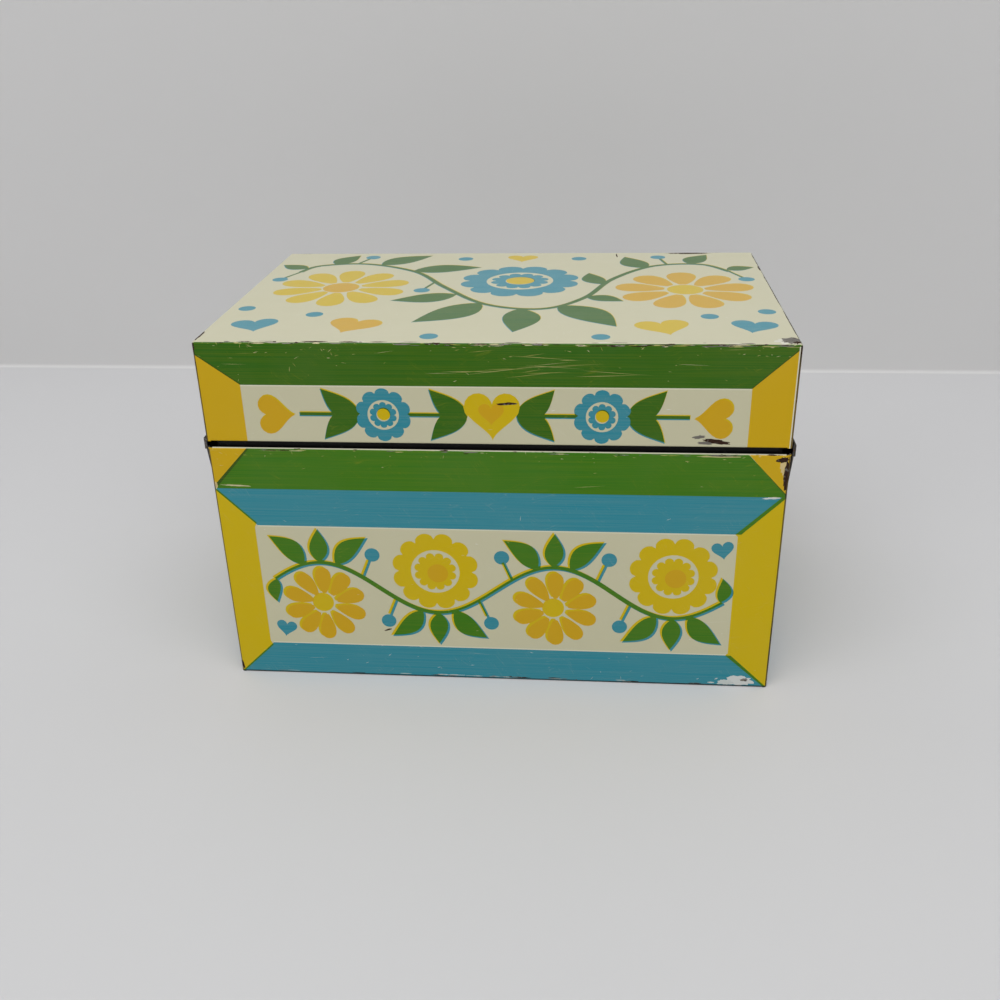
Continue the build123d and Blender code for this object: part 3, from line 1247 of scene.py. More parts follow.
    def _cut_wraps(self, bm: bmesh.types.BMesh) -> None:
        """Cut the faces round folds where the border's colour changes.

        Args:
            bm: The shell.
        """
        for index, panel in enumerate(self.panels):
            cuts = [(panel.right, at) for at in panel.cuts_right]
            cuts += [(panel.up, at) for at in panel.cuts_up]
            for axis, at in cuts:
                faces = [f for f in bm.faces if f[self.side] == -(index + 1)]
                edges = {e for f in faces for e in f.edges}
                geom = [*faces, *edges, *{v for f in faces for v in f.verts}]
                way = Vector(axis)
                place = way * at * MM
                bmesh.ops.bisect_plane(bm, geom=geom, dist=ON_CUT, plane_co=place, plane_no=way)
        self._merge_level_faces(bm)
        bm.normal_update()

    def _merge_level_faces(self, bm: bmesh.types.BMesh) -> None:
        """Join a panel's faces that lie in one plane.

        Args:
            bm: The shell.
        """
        level_angle, limit = 1e-3, 2e-3
        edges = []
        for edge in bm.edges:
            if len(edge.link_faces) == 2 and edge.calc_face_angle(1) < level_angle:
                a, b = (face[self.side] for face in edge.link_faces)
                if a > 0 and a == b:
                    edges.append(edge)
        bmesh.ops.dissolve_limit(bm, angle_limit=limit, verts=[], edges=edges, delimit=set())

    def _print_panel(self, bm: bmesh.types.BMesh, number: int, panel: Panel) -> None:
        """Replace a panel's faces by ones that follow the drawing.

        Args:
            bm: The shell.
            number: The panel's number.
            panel: The panel and its drawing.
        """
        facets = [f for f in bm.faces if f[self.side] == number]
        corners = list({v: None for f in facets for v in f.verts})
        index = {v: k for k, v in enumerate(corners)}
        points = [Vector(panel.flat(v.co)) for v in corners]
        polygons = [[index[v] for v in f.verts] for f in facets]
        patches = [*panel.artwork.frames, *panel.artwork.motifs]
        for patch in patches:
            outline = patch.outline
            area = ring_area(outline)
            first = len(points)
            points += [Vector(p) for p in outline]
            order = list(range(first, first + len(outline)))
            polygons.append(order if area > 0 else order[::-1])
        spots, _, cells, sources, _, owners = delaunay_2d_cdt(
            points, [], polygons, 1, NEAR_ON_DRAWING, True
        )
        covered = [0.0] * len(polygons)
        for cell, owner in zip(cells, owners):
            for o in owner:
                covered[o] += ring_area([spots[k][:] for k in cell])
        # A shape that covers more than its own area is left out, and said so.
        share, slack = 2, 1
        spread = set()
        for k, patch in enumerate(patches):
            if covered[len(facets) + k] > share * abs(ring_area(patch.outline)) + slack:
                spread.add(len(facets) + k)
                log.warning("%s %s: shape %d left out, it spread", self.name, panel.name, k)
        planes = [(*face_plane(f), f[self.bent]) for f in facets]
        right, up, out = np.array(panel.right), np.array(panel.up), np.array(panel.normal)
        verts = [[corners[o] for o in source if o < len(corners)] for source in sources]
        self._split_rim(facets, index, spots, verts, points)

        found: dict[tuple[int, int], bmesh.types.BMVert] = {}

        def corner(k: int, facet: int) -> bmesh.types.BMVert:
            """Find or make the mesh corner at a spot of the drawing.

            Args:
                k: The spot.
                facet: Which of the panel's old faces it lies on.

            Returns:
                The corner.
            """
            if (k, facet) not in found:
                place, normal, _ = planes[facet]
                flat = (right * spots[k].x + up * spots[k].y) * MM
                lifted = Vector(flat + out * ((place - flat) @ normal / (out @ normal)))
                near = (v for v in verts[k] if (v.co - lifted).length < NEAR_ON_PANEL)
                same = next(near, None)
                if same is None:
                    same = bm.verts.new(lifted)
                    verts[k].append(same)
                found[k, facet] = same
            return found[k, facet]

        made = []
        for cell, owner in zip(cells, owners):
            amounts: dict[Plate, float] = {}
            for o in sorted(owner):
                if o >= len(facets) and o not in spread:
                    patch = patches[o - len(facets)]
                    amounts[patch.plate] = patch.amount
            for facet in (o for o in owner if o < len(facets)):
                ring = [corner(k, facet) for k in cell]
                if len(set(ring)) == 3:
                    made.append((ring, amounts, planes[facet][2]))
        bmesh.ops.delete(bm, geom=facets, context="FACES_ONLY")
        for ring, amounts, bent in made:
            if bm.faces.get(ring):
                continue
            face = bm.faces.new(ring)
            face[self.skin] = Skin.PRINT
            face[self.side] = number
            face[self.bent] = bent
            for plate, amount in amounts.items():
                face[self.plates[plate]] = amount
        log.info("%s %s: %d shapes, %d faces", self.name, panel.name, len(patches), len(made))

    def _split_rim(
        self,
        facets: list[bmesh.types.BMFace],
        index: dict[bmesh.types.BMVert, int],
        spots: list[Vector],
        verts: list[list[bmesh.types.BMVert]],
        points: list[Vector],
    ) -> None:
        """Split the panel's rim where shapes cross it, so that no face edge is left open.

        Args:
            facets: The panel's faces.
            index: Place of each of their corners in points.
            spots: Corners of the new faces on the drawing.
            verts: Mesh corners at each spot, which gain the new ones.
            points: Corners that went into the drawing.
        """
        members = set(facets)
        edges = {e: None for f in facets for e in f.edges}
        rim = [e for e in edges if not members.issuperset(e.link_faces)]
        places = np.array([spot[:] for spot in spots])
        for edge in rim:
            start, end = edge.verts
            a, b = np.array(points[index[start]][:]), np.array(points[index[end]][:])
            run = b - a
            length = float(np.hypot(*run))
            if length < NO_RUN:
                continue
            arms = places - a
            along = arms @ run / length**2
            off = np.abs(arms[:, 0] * run[1] - arms[:, 1] * run[0]) / length
            slack = ALONG_RIM / length
            hits = np.nonzero((off < OFF_RIM) & (along > slack) & (along < 1 - slack))[0]
            done = 0.0
            for hit in sorted(hits, key=lambda h: along[h]):
                share = (float(along[hit]) - done) / (1 - done)
                _, new = bmesh.utils.edge_split(edge, start, share)
                done = float(along[hit])
                verts[hit].append(new)
                start = new
                edge = next(e for e in new.link_edges if e.other_vert(new) is end)

    def _ink_wraps(self, bm: bmesh.types.BMesh) -> None:
        """Give fold faces their border colours, painted shade below and a pale coat above.

        Args:
            bm: The shell.
        """
        level, longest = 0.5, max(panel.reach for panel in self.panels)
        for face in bm.faces:
            if face[self.side] < 0:
                panel = self.panels[-face[self.side] - 1]
                amounts = panel.frame_inks(panel.flat(face.calc_center_median()))
                # Faces turned down at the foot are darkened as painted shade under the box.
                if face.normal.z < -level:
                    amounts[Plate.GRIME_AND_SHADE] = 1.0
                elif face.normal.z > level:
                    dirt_and_shade = 0.12 if panel.reach == longest else 0.5
                    amounts = {Plate.BUFF: 0.6, Plate.GRIME_AND_SHADE: dirt_and_shade}
                for plate, amount in amounts.items():
                    face[self.plates[plate]] = amount

    def _corner_normals(self, bm: bmesh.types.BMesh) -> list[Vector]:
        """Work out shading normals: exact on flat panels, running smoothly into the folds.

        Args:
            bm: The shell, which owns the normals.

        Returns:
            One normal for each corner of each face.
        """
        normals: list[Vector] = []
        for face in bm.faces:
            flat = not face[self.bent] or face[self.skin] == Skin.EDGE
            for loop in face.loops:
                normals.append(face.normal if flat else self._blended_normal(face, loop.vert))
        return normals

    def _blended_normal(self, face: bmesh.types.BMFace, vert: bmesh.types.BMVert) -> Vector:
        """Work out the shading normal at a corner of a bent face.

        Args:
            face: The face.
            vert: Its corner.

        Returns:
            The flat panel's normal where one meets the corner, else the mean of the bent faces'.
        """
        limit, same = math.cos(self.fold_angle), 0.9998
        near = [f for f in vert.link_faces if f[self.skin] == face[self.skin]]
        near = [f for f in near if f.normal.dot(face.normal) > limit]
        level = next((f.normal for f in near if not f[self.bent]), None)
        if level:
            return level
        different: list[Vector] = []
        for other in near:
            if all(other.normal.dot(seen) < same for seen in different):
                different.append(other.normal)
        total = sum(different, Vector())
        return total.normalized() if total.length > 0 else face.normal

    def _finish(self, bm: bmesh.types.BMesh) -> bpy.types.Object:
        """Turn the mesh into the piece.

        Args:
            bm: The shell, which is freed.

        Returns:
            The piece.
        """
        bm.normal_update()
        # The normals are copied, because they go when the shell is freed.
        normals = [normal[:] for normal in self._corner_normals(bm)]
        mesh = bpy.data.meshes.new(self.name)
        bm.to_mesh(mesh)
        bm.free()
        helpers = ("custom_normal", "skin", "side", "bent")
        for layer in [a.name for a in mesh.attributes if a.name in helpers]:
            mesh.attributes.remove(mesh.attributes[layer])
        mesh.shade_smooth()
        mesh.normals_split_custom_set(normals)
        piece = bpy.data.objects.new(self.name, mesh)
        bpy.context.scene.collection.objects.link(piece)
        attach(piece, self.body)
        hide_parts(self.node)
        return piece


# ---- Shader node groups -------------------------------------------------------------------


class Graph:
    """Short calls to add and join nodes in one tree."""

    def __init__(self, tree: bpy.types.NodeTree) -> None:
        """Keep the tree."""
        self.tree = tree

    def add(
        self, kind: str, inputs: dict[str | int, object] | None = None, **settings: object
    ) -> bpy.types.Node:
        """Add a node.

        Args:
            kind: Its type.
            inputs: Values or sockets for its inputs.
            **settings: Its properties.

        Returns:
            The node.
        """
        node = self.tree.nodes.new(kind)
        for key, value in settings.items():
            setattr(node, key, value)
        for key, value in (inputs or {}).items():
            self.put(node.inputs[key], value)
        return node

    def put(self, socket: Socket, value: object) -> None:
        """Join a socket, or set the plain value.

        Args:
            socket: The input.
            value: A socket or a plain value.
        """
        if isinstance(value, bpy.types.NodeSocket):
            self.tree.links.new(value, socket)
        else:
            socket.default_value = value

    def math(self, operation: str, a: object, b: object = 0.0, clamp: bool = False) -> Socket:
        """Do arithmetic on values.

        Args:
            operation: What is done.
            a: First value or socket.
            b: Second value or socket.
            clamp: True to keep the result from 0 to 1.

        Returns:
            The result.
        """
        node = self.add("ShaderNodeMath", {0: a, 1: b}, operation=operation, use_clamp=clamp)
        return node.outputs[0]

    def times(self, a: object, b: object) -> Socket:
        """Multiply two values."""
        return self.math("MULTIPLY", a, b)

    def minus(self, a: object, b: object, clamp: bool = False) -> Socket:
        """Take one value from another."""
        return self.math("SUBTRACT", a, b, clamp)

    def blend_values(self, factor: object, a: object, b: object) -> Socket:
        """Mix two values."""
        return self.add("ShaderNodeMix", {0: factor, 2: a, 3: b}).outputs[0]

    def ramp(
        self,
        value: object,
        low: object,
        high: object,
        to_low: float = 0.0,
        to_high: float = 1.0,
    ) -> Socket:
        """Add a soft step.

        Args:
            value: What it works on.
            low: Where it starts.
            high: Where it ends.
            to_low: The result up to the start.
            to_high: The result from the end on.

        Returns:
            The result.
        """
        inputs = {"Value": value, "From Min": low, "From Max": high}
        inputs |= {"To Min": to_low, "To Max": to_high}
        return self.add("ShaderNodeMapRange", inputs, interpolation_type="SMOOTHSTEP").outputs[0]

    def mix(self, factor: object, a: object, b: object, blend: str = "MIX") -> Socket:
        """Mix two colours.

        Args:
            factor: Share of the second colour.
            a: First colour.
            b: Second colour.
            blend: How they mix.

        Returns:
            The mixed colour.
        """
        inputs = {0: factor, 6: a, 7: b}
        return self.add("ShaderNodeMix", inputs, data_type="RGBA", blend_type=blend).outputs[2]

    def noise(
        self, place: Socket, scale: object, detail: float = 3.0, rough: float = 0.55
    ) -> Socket:
        """Add soft noise from 0 to 1.

        Args:
            place: Where it is taken.
            scale: Its fineness.
            detail: Number of finer layers.
            rough: How strong the finer layers are.

        Returns:
            The noise.
        """
        inputs = {"Vector": place, "Scale": scale, "Detail": detail, "Roughness": rough}
        return self.add("ShaderNodeTexNoise", inputs).outputs[0]

    def stretch(self, place: Socket, factors: object) -> Socket:
        """Scale a place along each axis."""
        node = self.add("ShaderNodeVectorMath", {0: place, 1: factors}, operation="MULTIPLY")
        return node.outputs[0]

    def axes(self, vector: Socket) -> bpy.types.bpy_prop_collection:
        """Split a vector into its X, Y and Z."""
        return self.add("ShaderNodeSeparateXYZ", {0: vector}).outputs

    def place(self) -> Socket:
        """Place on the piece, in metres."""
        return self.add("ShaderNodeTexCoord").outputs["Object"]

    def normal(self) -> Socket:
        """Direction that the surface faces."""
        return self.add("ShaderNodeNewGeometry").outputs["Normal"]

    def relief(self, shader: bpy.types.Node, height: Socket, depth: float, strength: float) -> None:
        """Give a shader fine relief.

        Args:
            shader: The shader.
            height: Height of the relief, from 0 to 1.
            depth: What a height of 1 is, in metres.
            strength: How much of it shows.
        """
        inputs = {"Height": height, "Distance": depth, "Strength": strength}
        self.put(shader.inputs["Normal"], self.add("ShaderNodeBump", inputs).outputs[0])

    def group(self, tree: bpy.types.NodeTree, inputs: dict[str | int, object]) -> bpy.types.Node:
        """Add a node group.

        Args:
            tree: The group.
            inputs: Values or sockets for its inputs.

        Returns:
            The node.
        """
        node = self.tree.nodes.new("ShaderNodeGroup")
        node.node_tree = tree
        for key, value in inputs.items():
            self.put(node.inputs[key], value)
        return node


class SocketKind(Enum):
    """Kinds of socket on a node group."""

    VALUE = "NodeSocketFloat"
    COLOUR = "NodeSocketColor"


@dataclass
class EffectGroup:
    """A node group with named sockets: the common part of every effect.

    Attributes:
        title: Its name.
        inputs: Its inputs and their values, or colours where they have four numbers.
        outputs: Its outputs and their kinds.
    """

    title: str
    inputs: dict[str, float | tuple[float, ...]]
    outputs: dict[str, SocketKind]

    def open(self) -> tuple[Graph, dict[str, Socket], bpy.types.Node]:
        """Make the empty group.

        Returns:
            The graph, its inputs by name and its output node.
        """
        tree = bpy.data.node_groups.new(self.title, "ShaderNodeTree")
        for name, value in self.inputs.items():
            kind = SocketKind.VALUE if isinstance(value, (int, float)) else SocketKind.COLOUR
            socket = tree.interface.new_socket(name=name, in_out="INPUT", socket_type=kind.value)
            socket.default_value = value
        for name, kind in self.outputs.items():
            tree.interface.new_socket(name=name, in_out="OUTPUT", socket_type=kind.value)
        graph = Graph(tree)
        source = graph.add("NodeGroupInput")
        return graph, {s.name: s for s in source.outputs if s.name}, graph.add("NodeGroupOutput")


class Effects:
    """The effects that the finishes share, each built once."""

    def __init__(self) -> None:
        """Build every group."""
        self.streaks = self._streaks()
        self.folds = self._folds()
        self.wear = self._wear()
        self.scratches = self._scratches()
        self.metal = self._metal()
        self.inks = self._inks()

    def _streaks(self) -> bpy.types.NodeTree:
        """Fine level streaks of the press, along each wall and across the top.

        Returns:
            The group.
        """
        values = {"Fineness": 2600.0, "Length": 60.0}
        g, i, out = EffectGroup("press_streaks", values, {"Value": SocketKind.VALUE}).open()
        sideways = g.math("ABSOLUTE", g.axes(g.normal())["X"])
        on_side = g.math("GREATER_THAN", sideways, 0.6)
        along_y = g.blend_values(on_side, i["Fineness"], i["Length"])
        along_x = g.blend_values(on_side, i["Length"], i["Fineness"])
        scale = g.add("ShaderNodeCombineXYZ", {0: along_x, 1: along_y, 2: i["Fineness"]}).outputs[0]
        streak = g.noise(g.stretch(g.place(), scale), 1.0, detail=2.0, rough=0.6)
        g.put(out.inputs["Value"], g.ramp(streak, 0.3, 0.7))
        return g.tree

    def _folds(self) -> bpy.types.NodeTree:
        """Distance in millimetres to the nearest outer fold of a box-shaped shell.

        Returns:
            The group.
        """
        sizes = {"Half Width": 50.0, "Half Depth": 50.0, "Low": 0.0, "High": 50.0}
        g, i, out = EffectGroup("fold_distance", sizes, {"Distance": SocketKind.VALUE}).open()
        xyz = g.axes(g.stretch(g.place(), (1 / MM,) * 3))

        def gap(a: Socket, b: Socket) -> Socket:
            """Distance between two values."""
            return g.math("ABSOLUTE", g.minus(a, b))

        to_side = gap(i["Half Width"], g.math("ABSOLUTE", xyz["X"]))
        to_front = gap(i["Half Depth"], g.math("ABSOLUTE", xyz["Y"]))
        to_level = g.math("MINIMUM", gap(xyz["Z"], i["Low"]), gap(i["High"], xyz["Z"]))
        # A fold is where two of the three are small, so its distance is the middle one.
        farther = g.math("MINIMUM", g.math("MAXIMUM", to_side, to_front), to_level)
        middle = g.math("MAXIMUM", g.math("MINIMUM", to_side, to_front), farther)
        g.put(out.inputs["Distance"], middle)
        return g.tree

    def _wear(self) -> bpy.types.NodeTree:
        """Ragged patches that spread from a fold.

        Returns:
            The group.
        """
        values = {"Distance": 1.0, "Reach": 1.0, "Scale": 220.0, "Amount": 0.5}
        g, i, out = EffectGroup("worn_folds", values, {"Mask": SocketKind.VALUE}).open()
        coarse = g.noise(g.place(), i["Scale"], detail=5.0, rough=0.62)
        near = g.minus(1.0, g.math("DIVIDE", i["Distance"], i["Reach"]), clamp=True)
        level = g.math("ADD", coarse, g.times(near, 0.42))
        start = g.minus(1.12, g.times(i["Amount"], 0.45))
        mask = g.ramp(level, start, g.math("ADD", start, 0.035))
        g.put(out.inputs["Mask"], g.times(mask, g.math("GREATER_THAN", near, 0.0)))
        return g.tree

    def _scratches(self) -> bpy.types.NodeTree:
        """Hair scratches in three directions, and a soft rubbed haze.

        Returns:
            The group.
        """
        outputs = {"Mask": SocketKind.VALUE, "Haze": SocketKind.VALUE}
        g, i, out = EffectGroup("hair_scratches", {"Scale": 1.0, "Amount": 0.5}, outputs).open()
        place = g.place()
        hair_scale, thick = (1900.0, 70.0, 90.0), 0.012
        total: object = 0.0
        for turn in ((0.3, 0.9, 0.2), (1.1, -0.4, 0.7), (-0.6, 0.3, 1.4)):
            inputs = {"Vector": place, "Rotation": turn}
            spin = g.add("ShaderNodeVectorRotate", inputs, rotation_type="EULER_XYZ").outputs[0]
            line = g.noise(g.stretch(spin, hair_scale), i["Scale"], detail=1.0, rough=0.5)
            fine = g.ramp(g.math("ABSOLUTE", g.minus(line, 0.5)), thick, 0.0)
            gate = g.ramp(g.noise(spin, 160.0, detail=1.0), 0.56, 0.66)
            total = g.math("MAXIMUM", total, g.times(fine, gate))
        g.put(out.inputs["Mask"], g.times(total, i["Amount"]))
        g.put(out.inputs["Haze"], g.ramp(g.noise(place, 34.0, detail=4.0, rough=0.6), 0.32, 0.72))
        return g.tree

    def _metal(self) -> bpy.types.NodeTree:
        """Old tinplate: grey, with brown spots and a soft spangle.

        Returns:
            The group.
        """
        values = {"Tin": (0.36, 0.35, 0.33, 1.0), "Rust": (0.10, 0.045, 0.025, 1.0), "Rusted": 0.5}
        outputs = {"Color": SocketKind.COLOUR}
        outputs |= {"Roughness": SocketKind.VALUE, "Height": SocketKind.VALUE}
        g, i, out = EffectGroup("old_tin", values, outputs).open()
        place = g.place()
        cells = g.add("ShaderNodeTexVoronoi", {"Vector": place, "Scale": 240.0}).outputs["Color"]
        random_tone = g.add("ShaderNodeSeparateColor", {0: cells}).outputs[0]
        tone = g.ramp(random_tone, 0.0, 1.0, 0.86, 1.12)
        spangle = g.add("ShaderNodeCombineColor", {0: tone, 1: tone, 2: tone}).outputs[0]
        grey = g.mix(1.0, i["Tin"], spangle, "MULTIPLY")
        spots = g.noise(place, 620.0, detail=5.0, rough=0.66)
        start = g.minus(0.86, g.times(i["Rusted"], 0.62))
        rust = g.ramp(spots, start, g.math("ADD", start, 0.1))
        g.put(out.inputs["Color"], g.mix(rust, grey, i["Rust"]))
        g.put(out.inputs["Roughness"], g.ramp(rust, 0.0, 1.0, 0.38, 0.85))
        g.put(out.inputs["Height"], g.times(spots, rust))
        return g.tree

    def _inks(self) -> bpy.types.NodeTree:
        """Colour of the inks over the buff coat, with the streaks in the blue plate.

        Returns:
            The group.
        """
        values: dict[str, float | tuple[float, ...]] = {
            "Yellow": 0.0,
            "Orange": 0.0,
            "Blue": 0.0,
            "Gap": 0.0,
            "Streak": 0.5,
            "Scuff": 0.0,
            "Cream Color": (0.585, 0.56, 0.385, 1.0),
            "Gap Color": (0.70, 0.68, 0.52, 1.0),
            "Yellow Color": (0.605, 0.435, 0.001, 1.0),
            "Orange Color": (0.60, 0.355, 0.006, 1.0),
            "Blue Color": (0.022, 0.24, 0.315, 1.0),
            "Green Color": (0.036, 0.172, 0.005, 1.0),
        }
        scuffed_coat, deep_green = (0.74, 0.735, 0.70, 1.0), (0.016, 0.060, 0.004, 1.0)
        blue_loss, warm_loss, thinnest = 0.85, 0.5, 0.94
        g, i, out = EffectGroup("press_inks", values, {"Color": SocketKind.COLOUR}).open()
        coat = g.mix(i["Gap"], i["Cream Color"], i["Gap Color"])
        coat = g.mix(i["Scuff"], coat, scuffed_coat)
        # The blue plate was printed last, so it rubs off before the warm inks.
        kept = g.minus(1.0, g.times(i["Scuff"], blue_loss))
        held = g.minus(1.0, g.times(i["Scuff"], warm_loss))
        yellow = g.mix(g.times(i["Yellow"], held), coat, i["Yellow Color"])
        warm = g.mix(g.times(i["Orange"], held), yellow, i["Orange Color"])
        under = g.mix(i["Yellow"], i["Blue Color"], i["Green Color"])
        # Orange ink under the blue plate makes the darkest line along the mitres.
        deep = g.mix(g.math("MULTIPLY", i["Orange"], 1.2, clamp=True), under, deep_green)
        density = g.ramp(i["Streak"], 0.0, 1.0, thinnest, 1.0)
        cover = g.times(g.times(i["Blue"], density), kept)
        g.put(out.inputs["Color"], g.mix(cover, warm, deep))
        return g.tree


# ---- Finishes -----------------------------------------------------------------------------


def surface(name: str) -> tuple[bpy.types.Material, Graph, bpy.types.Node]:
    """Make a material with an empty tree but for its shader.

    Args:
        name: The material's name.

    Returns:
        The material, its graph and its Principled BSDF.
    """
    material = bpy.data.materials.new(name)
    material.use_nodes = True
    graph = Graph(material.node_tree)
    return material, graph, material.node_tree.nodes["Principled BSDF"]


@dataclass(frozen=True)
class PrintedTin:
    """Varnished print on tinplate, worn through at folds and chips.

    Attributes:
        name: Its name.
        reach: Half of the shell's width and of its depth, in millimetres.
        high: Its height, in millimetres.
        fold_wear: How far the folds are worn, from 0 to 1.
        green: Colour of the blue ink over the yellow.
        tin: Colour of the bare sheet.
        rust: Colour of its rust.
        haze: Colour of the film on the varnish.
        fade_and_sheen: How far upward faces pale, from 0 to 1: painted sheen, some fading.
        faded_and_sheened: Colour that they turn to: a blue-grey painted sheen, with dust.
        dirt_and_shade: Near-black colour of soiling and of painted shade.
        gloss: Roughness of the varnish, from clean to hazy.
        chip_shine: How metallic a chip is.
        varnish: Weight of the varnish.
        relief: Depth of a chip, in metres.
    """

    name: str
    reach: Point
    high: float
    fold_wear: float
    green: Color
    tin: Color = (0.20, 0.185, 0.16, 1.0)
    rust: Color = (0.045, 0.022, 0.014, 1.0)
    haze: Color = (0.42, 0.38, 0.26, 1.0)
    fade_and_sheen: float = 0.09
    faded_and_sheened: Color = (0.52, 0.57, 0.62, 1.0)
    dirt_and_shade: Color = (0.022, 0.015, 0.009, 1.0)
    gloss: Point = (0.34, 0.44)
    chip_shine: float = 0.35
    varnish: float = 0.08
    relief: float = 0.00005

    def make(self, effects: Effects) -> bpy.types.Material:
        """Build the material.

        Args:
            effects: The shared effects.

        Returns:
            The material.
        """
        material, g, shader = surface(self.name)
        ink: dict[Plate, Socket] = {}
        for plate in Plate:
            ink[plate] = g.add("ShaderNodeAttribute", attribute_name=plate.value).outputs["Fac"]
        streak = g.group(effects.streaks, {"Fineness": 5600.0, "Length": 26.0}).outputs["Value"]
        sizes = {"Half Width": self.reach[0], "Half Depth": self.reach[1], "High": self.high}
        fold = g.group(effects.folds, sizes).outputs["Distance"]
        wear = {"Distance": fold, "Reach": 0.8, "Scale": 300.0, "Amount": self.fold_wear}
        worn = g.group(effects.wear, wear).outputs["Mask"]
        hair = g.group(effects.scratches, {"Scale": 1.0, "Amount": 0.12}).outputs
        # A lightly rubbed place is grey tin; a deep chip has rusted through.
        rusted = g.ramp(g.math("MAXIMUM", ink[Plate.BARE], worn), 0.4, 1.0, 0.25, 0.85)
        look = {"Tin": self.tin, "Rust": self.rust, "Rusted": rusted}
        metal = g.group(effects.metal, look).outputs
        inks = g.group(
            effects.inks,
            {
                "Yellow": ink[Plate.YELLOW],
                "Orange": ink[Plate.ORANGE],
                "Blue": ink[Plate.BLUE],
                "Gap": ink[Plate.BUFF],
                "Streak": streak,
                "Scuff": g.math("MAXIMUM", ink[Plate.SCUFF], hair["Mask"]),
                "Green Color": self.green,
            },
        ).outputs["Color"]
        mottled = g.mix(g.times(hair["Haze"], 0.03), inks, self.haze)
        # Upward faces pale towards blue-grey: a painted sheen from above, with some dust and
        # fading.
        upward = g.ramp(g.axes(g.normal())["Z"], 0.5, 0.95, 0.0, self.fade_and_sheen)
        faded_and_sheened = g.mix(upward, mottled, self.faded_and_sheened)
        # The darkening plate turns faces near black: painted shade at the foot and under the box,
        # with some soiling.
        grime = g.times(ink[Plate.GRIME_AND_SHADE], g.ramp(hair["Haze"], 0.0, 1.0, 0.72, 1.0))
        soiled_and_shaded = g.mix(grime, faded_and_sheened, self.dirt_and_shade)
        bare = g.math("MAXIMUM", g.ramp(ink[Plate.BARE], 0.1, 0.3), worn)
        g.put(shader.inputs["Base Color"], g.mix(bare, soiled_and_shaded, metal["Color"]))
        g.put(shader.inputs["Metallic"], g.times(bare, self.chip_shine))
        gloss = g.ramp(hair["Haze"], 0.0, 1.0, *self.gloss)
        g.put(shader.inputs["Roughness"], g.blend_values(bare, gloss, metal["Roughness"]))
        g.put(shader.inputs["Coat Weight"], g.times(g.minus(1.0, bare), self.varnish))
        shader.inputs["Coat Roughness"].default_value = 0.16
        shader.inputs["Specular IOR Level"].default_value = 0.12
        height = g.math("ADD", g.times(bare, -1.0), g.times(streak, 0.12))
        g.relief(shader, height, depth=self.relief, strength=0.5)
        return material


@dataclass(frozen=True)
class BlackLacquer:
    """Black stoving lacquer with rub marks and dust.

    Attributes:
        name: Its name.
        black: Its colour, near zero, also standing as painted shade in the lid's gap.
        dust: Colour of the dust.
        dusty: How much dust lies on it, from 0 to 1.
        scratch: Colour of the rub marks.
        rubbed: How strong they are, from 0 to 1.
        gloss: Its roughness, from clean to hazy.
    """

    name: str = "black_lacquer_finish"
    # Black lacquer, darkened nearly to zero so that it also paints the shade in the gap under the
    # lid.
    black: Color = (0.002, 0.002, 0.0028, 1.0)
    dust: Color = (0.06, 0.055, 0.05, 1.0)
    dusty: float = 0.05
    scratch: Color = (0.08, 0.075, 0.07, 1.0)
    rubbed: float = 0.5
    gloss: Point = (0.32, 0.46)

    def make(self, effects: Effects) -> bpy.types.Material:
        """Build the material.

        Args:
            effects: The shared effects.

        Returns:
            The material.
        """
        material, g, shader = surface(self.name)
        hair = g.group(effects.scratches, {"Scale": 0.8, "Amount": self.rubbed}).outputs
        tone = g.mix(g.times(hair["Haze"], self.dusty), self.black, self.dust)
        g.put(shader.inputs["Base Color"], g.mix(hair["Mask"], tone, self.scratch))
        shader.inputs["Specular IOR Level"].default_value = 0.16
        g.put(shader.inputs["Roughness"], g.ramp(hair["Haze"], 0.0, 1.0, *self.gloss))
        g.relief(shader, hair["Haze"], depth=0.00006, strength=0.3)
        return material


@dataclass(frozen=True)
class BareTin:
    """Unprinted tinplate or wire, dulled and spotted.

    Attributes:
        name: Its name.
        tin: Its colour.
        rusted: How much of it is spotted, from 0 to 1.
        metallic: How metallic it is.
        scratch: Colour of its scratches.
    """

    name: str
    tin: Color
    rusted: float
    metallic: float = 0.9
    scratch: Color = (0.62, 0.60, 0.57, 1.0)

    def make(self, effects: Effects) -> bpy.types.Material:
        """Build the material.

        Args:
            effects: The shared effects.

        Returns:
            The material.
        """
        material, g, shader = surface(self.name)
        metal = g.group(effects.metal, {"Tin": self.tin, "Rusted": self.rusted}).outputs
        hair = g.group(effects.scratches, {"Scale": 0.9, "Amount": 0.5}).outputs
        g.put(shader.inputs["Base Color"], g.mix(hair["Mask"], metal["Color"], self.scratch))
        g.put(shader.inputs["Roughness"], metal["Roughness"])
        shader.inputs["Metallic"].default_value = self.metallic
        g.relief(shader, metal["Height"], depth=0.00008, strength=0.4)
        return material


@dataclass(frozen=True)
class StagePaint:
    """Matt pale surface of the floor or the wall.

    Attributes:
        name: Its name.
        color: Its colour.
        one_sided: True where nothing of it shows from behind.
        clouded: Its darkest places, as a share of the colour.
    """

    name: str
    color: Color
    one_sided: bool = False
    clouded: float = 0.97

    def make(self) -> bpy.types.Material:
        """Build the material.

        Returns:
            The material.
        """
        material, g, shader = surface(self.name)
        cloud = g.noise(g.place(), 7.0, detail=3.0, rough=0.5)
        shade = tuple(c * self.clouded for c in self.color[:3]) + (1.0,)
        g.put(shader.inputs["Base Color"], g.mix(cloud, self.color, shade))
        shader.inputs["Roughness"].default_value = 0.85
        shader.inputs["Specular IOR Level"].default_value = 0.2
        if self.one_sided:
            clear = g.add("ShaderNodeBsdfTransparent").outputs[0]
            behind = g.add("ShaderNodeNewGeometry").outputs["Backfacing"]
            both = g.add("ShaderNodeMixShader", {0: behind, 1: shader.outputs[0], 2: clear})
            output = material.node_tree.nodes["Material Output"]
            g.put(output.inputs["Surface"], both.outputs[0])
        return material


# ---- Sub-assemblies -----------------------------------------------------------------------


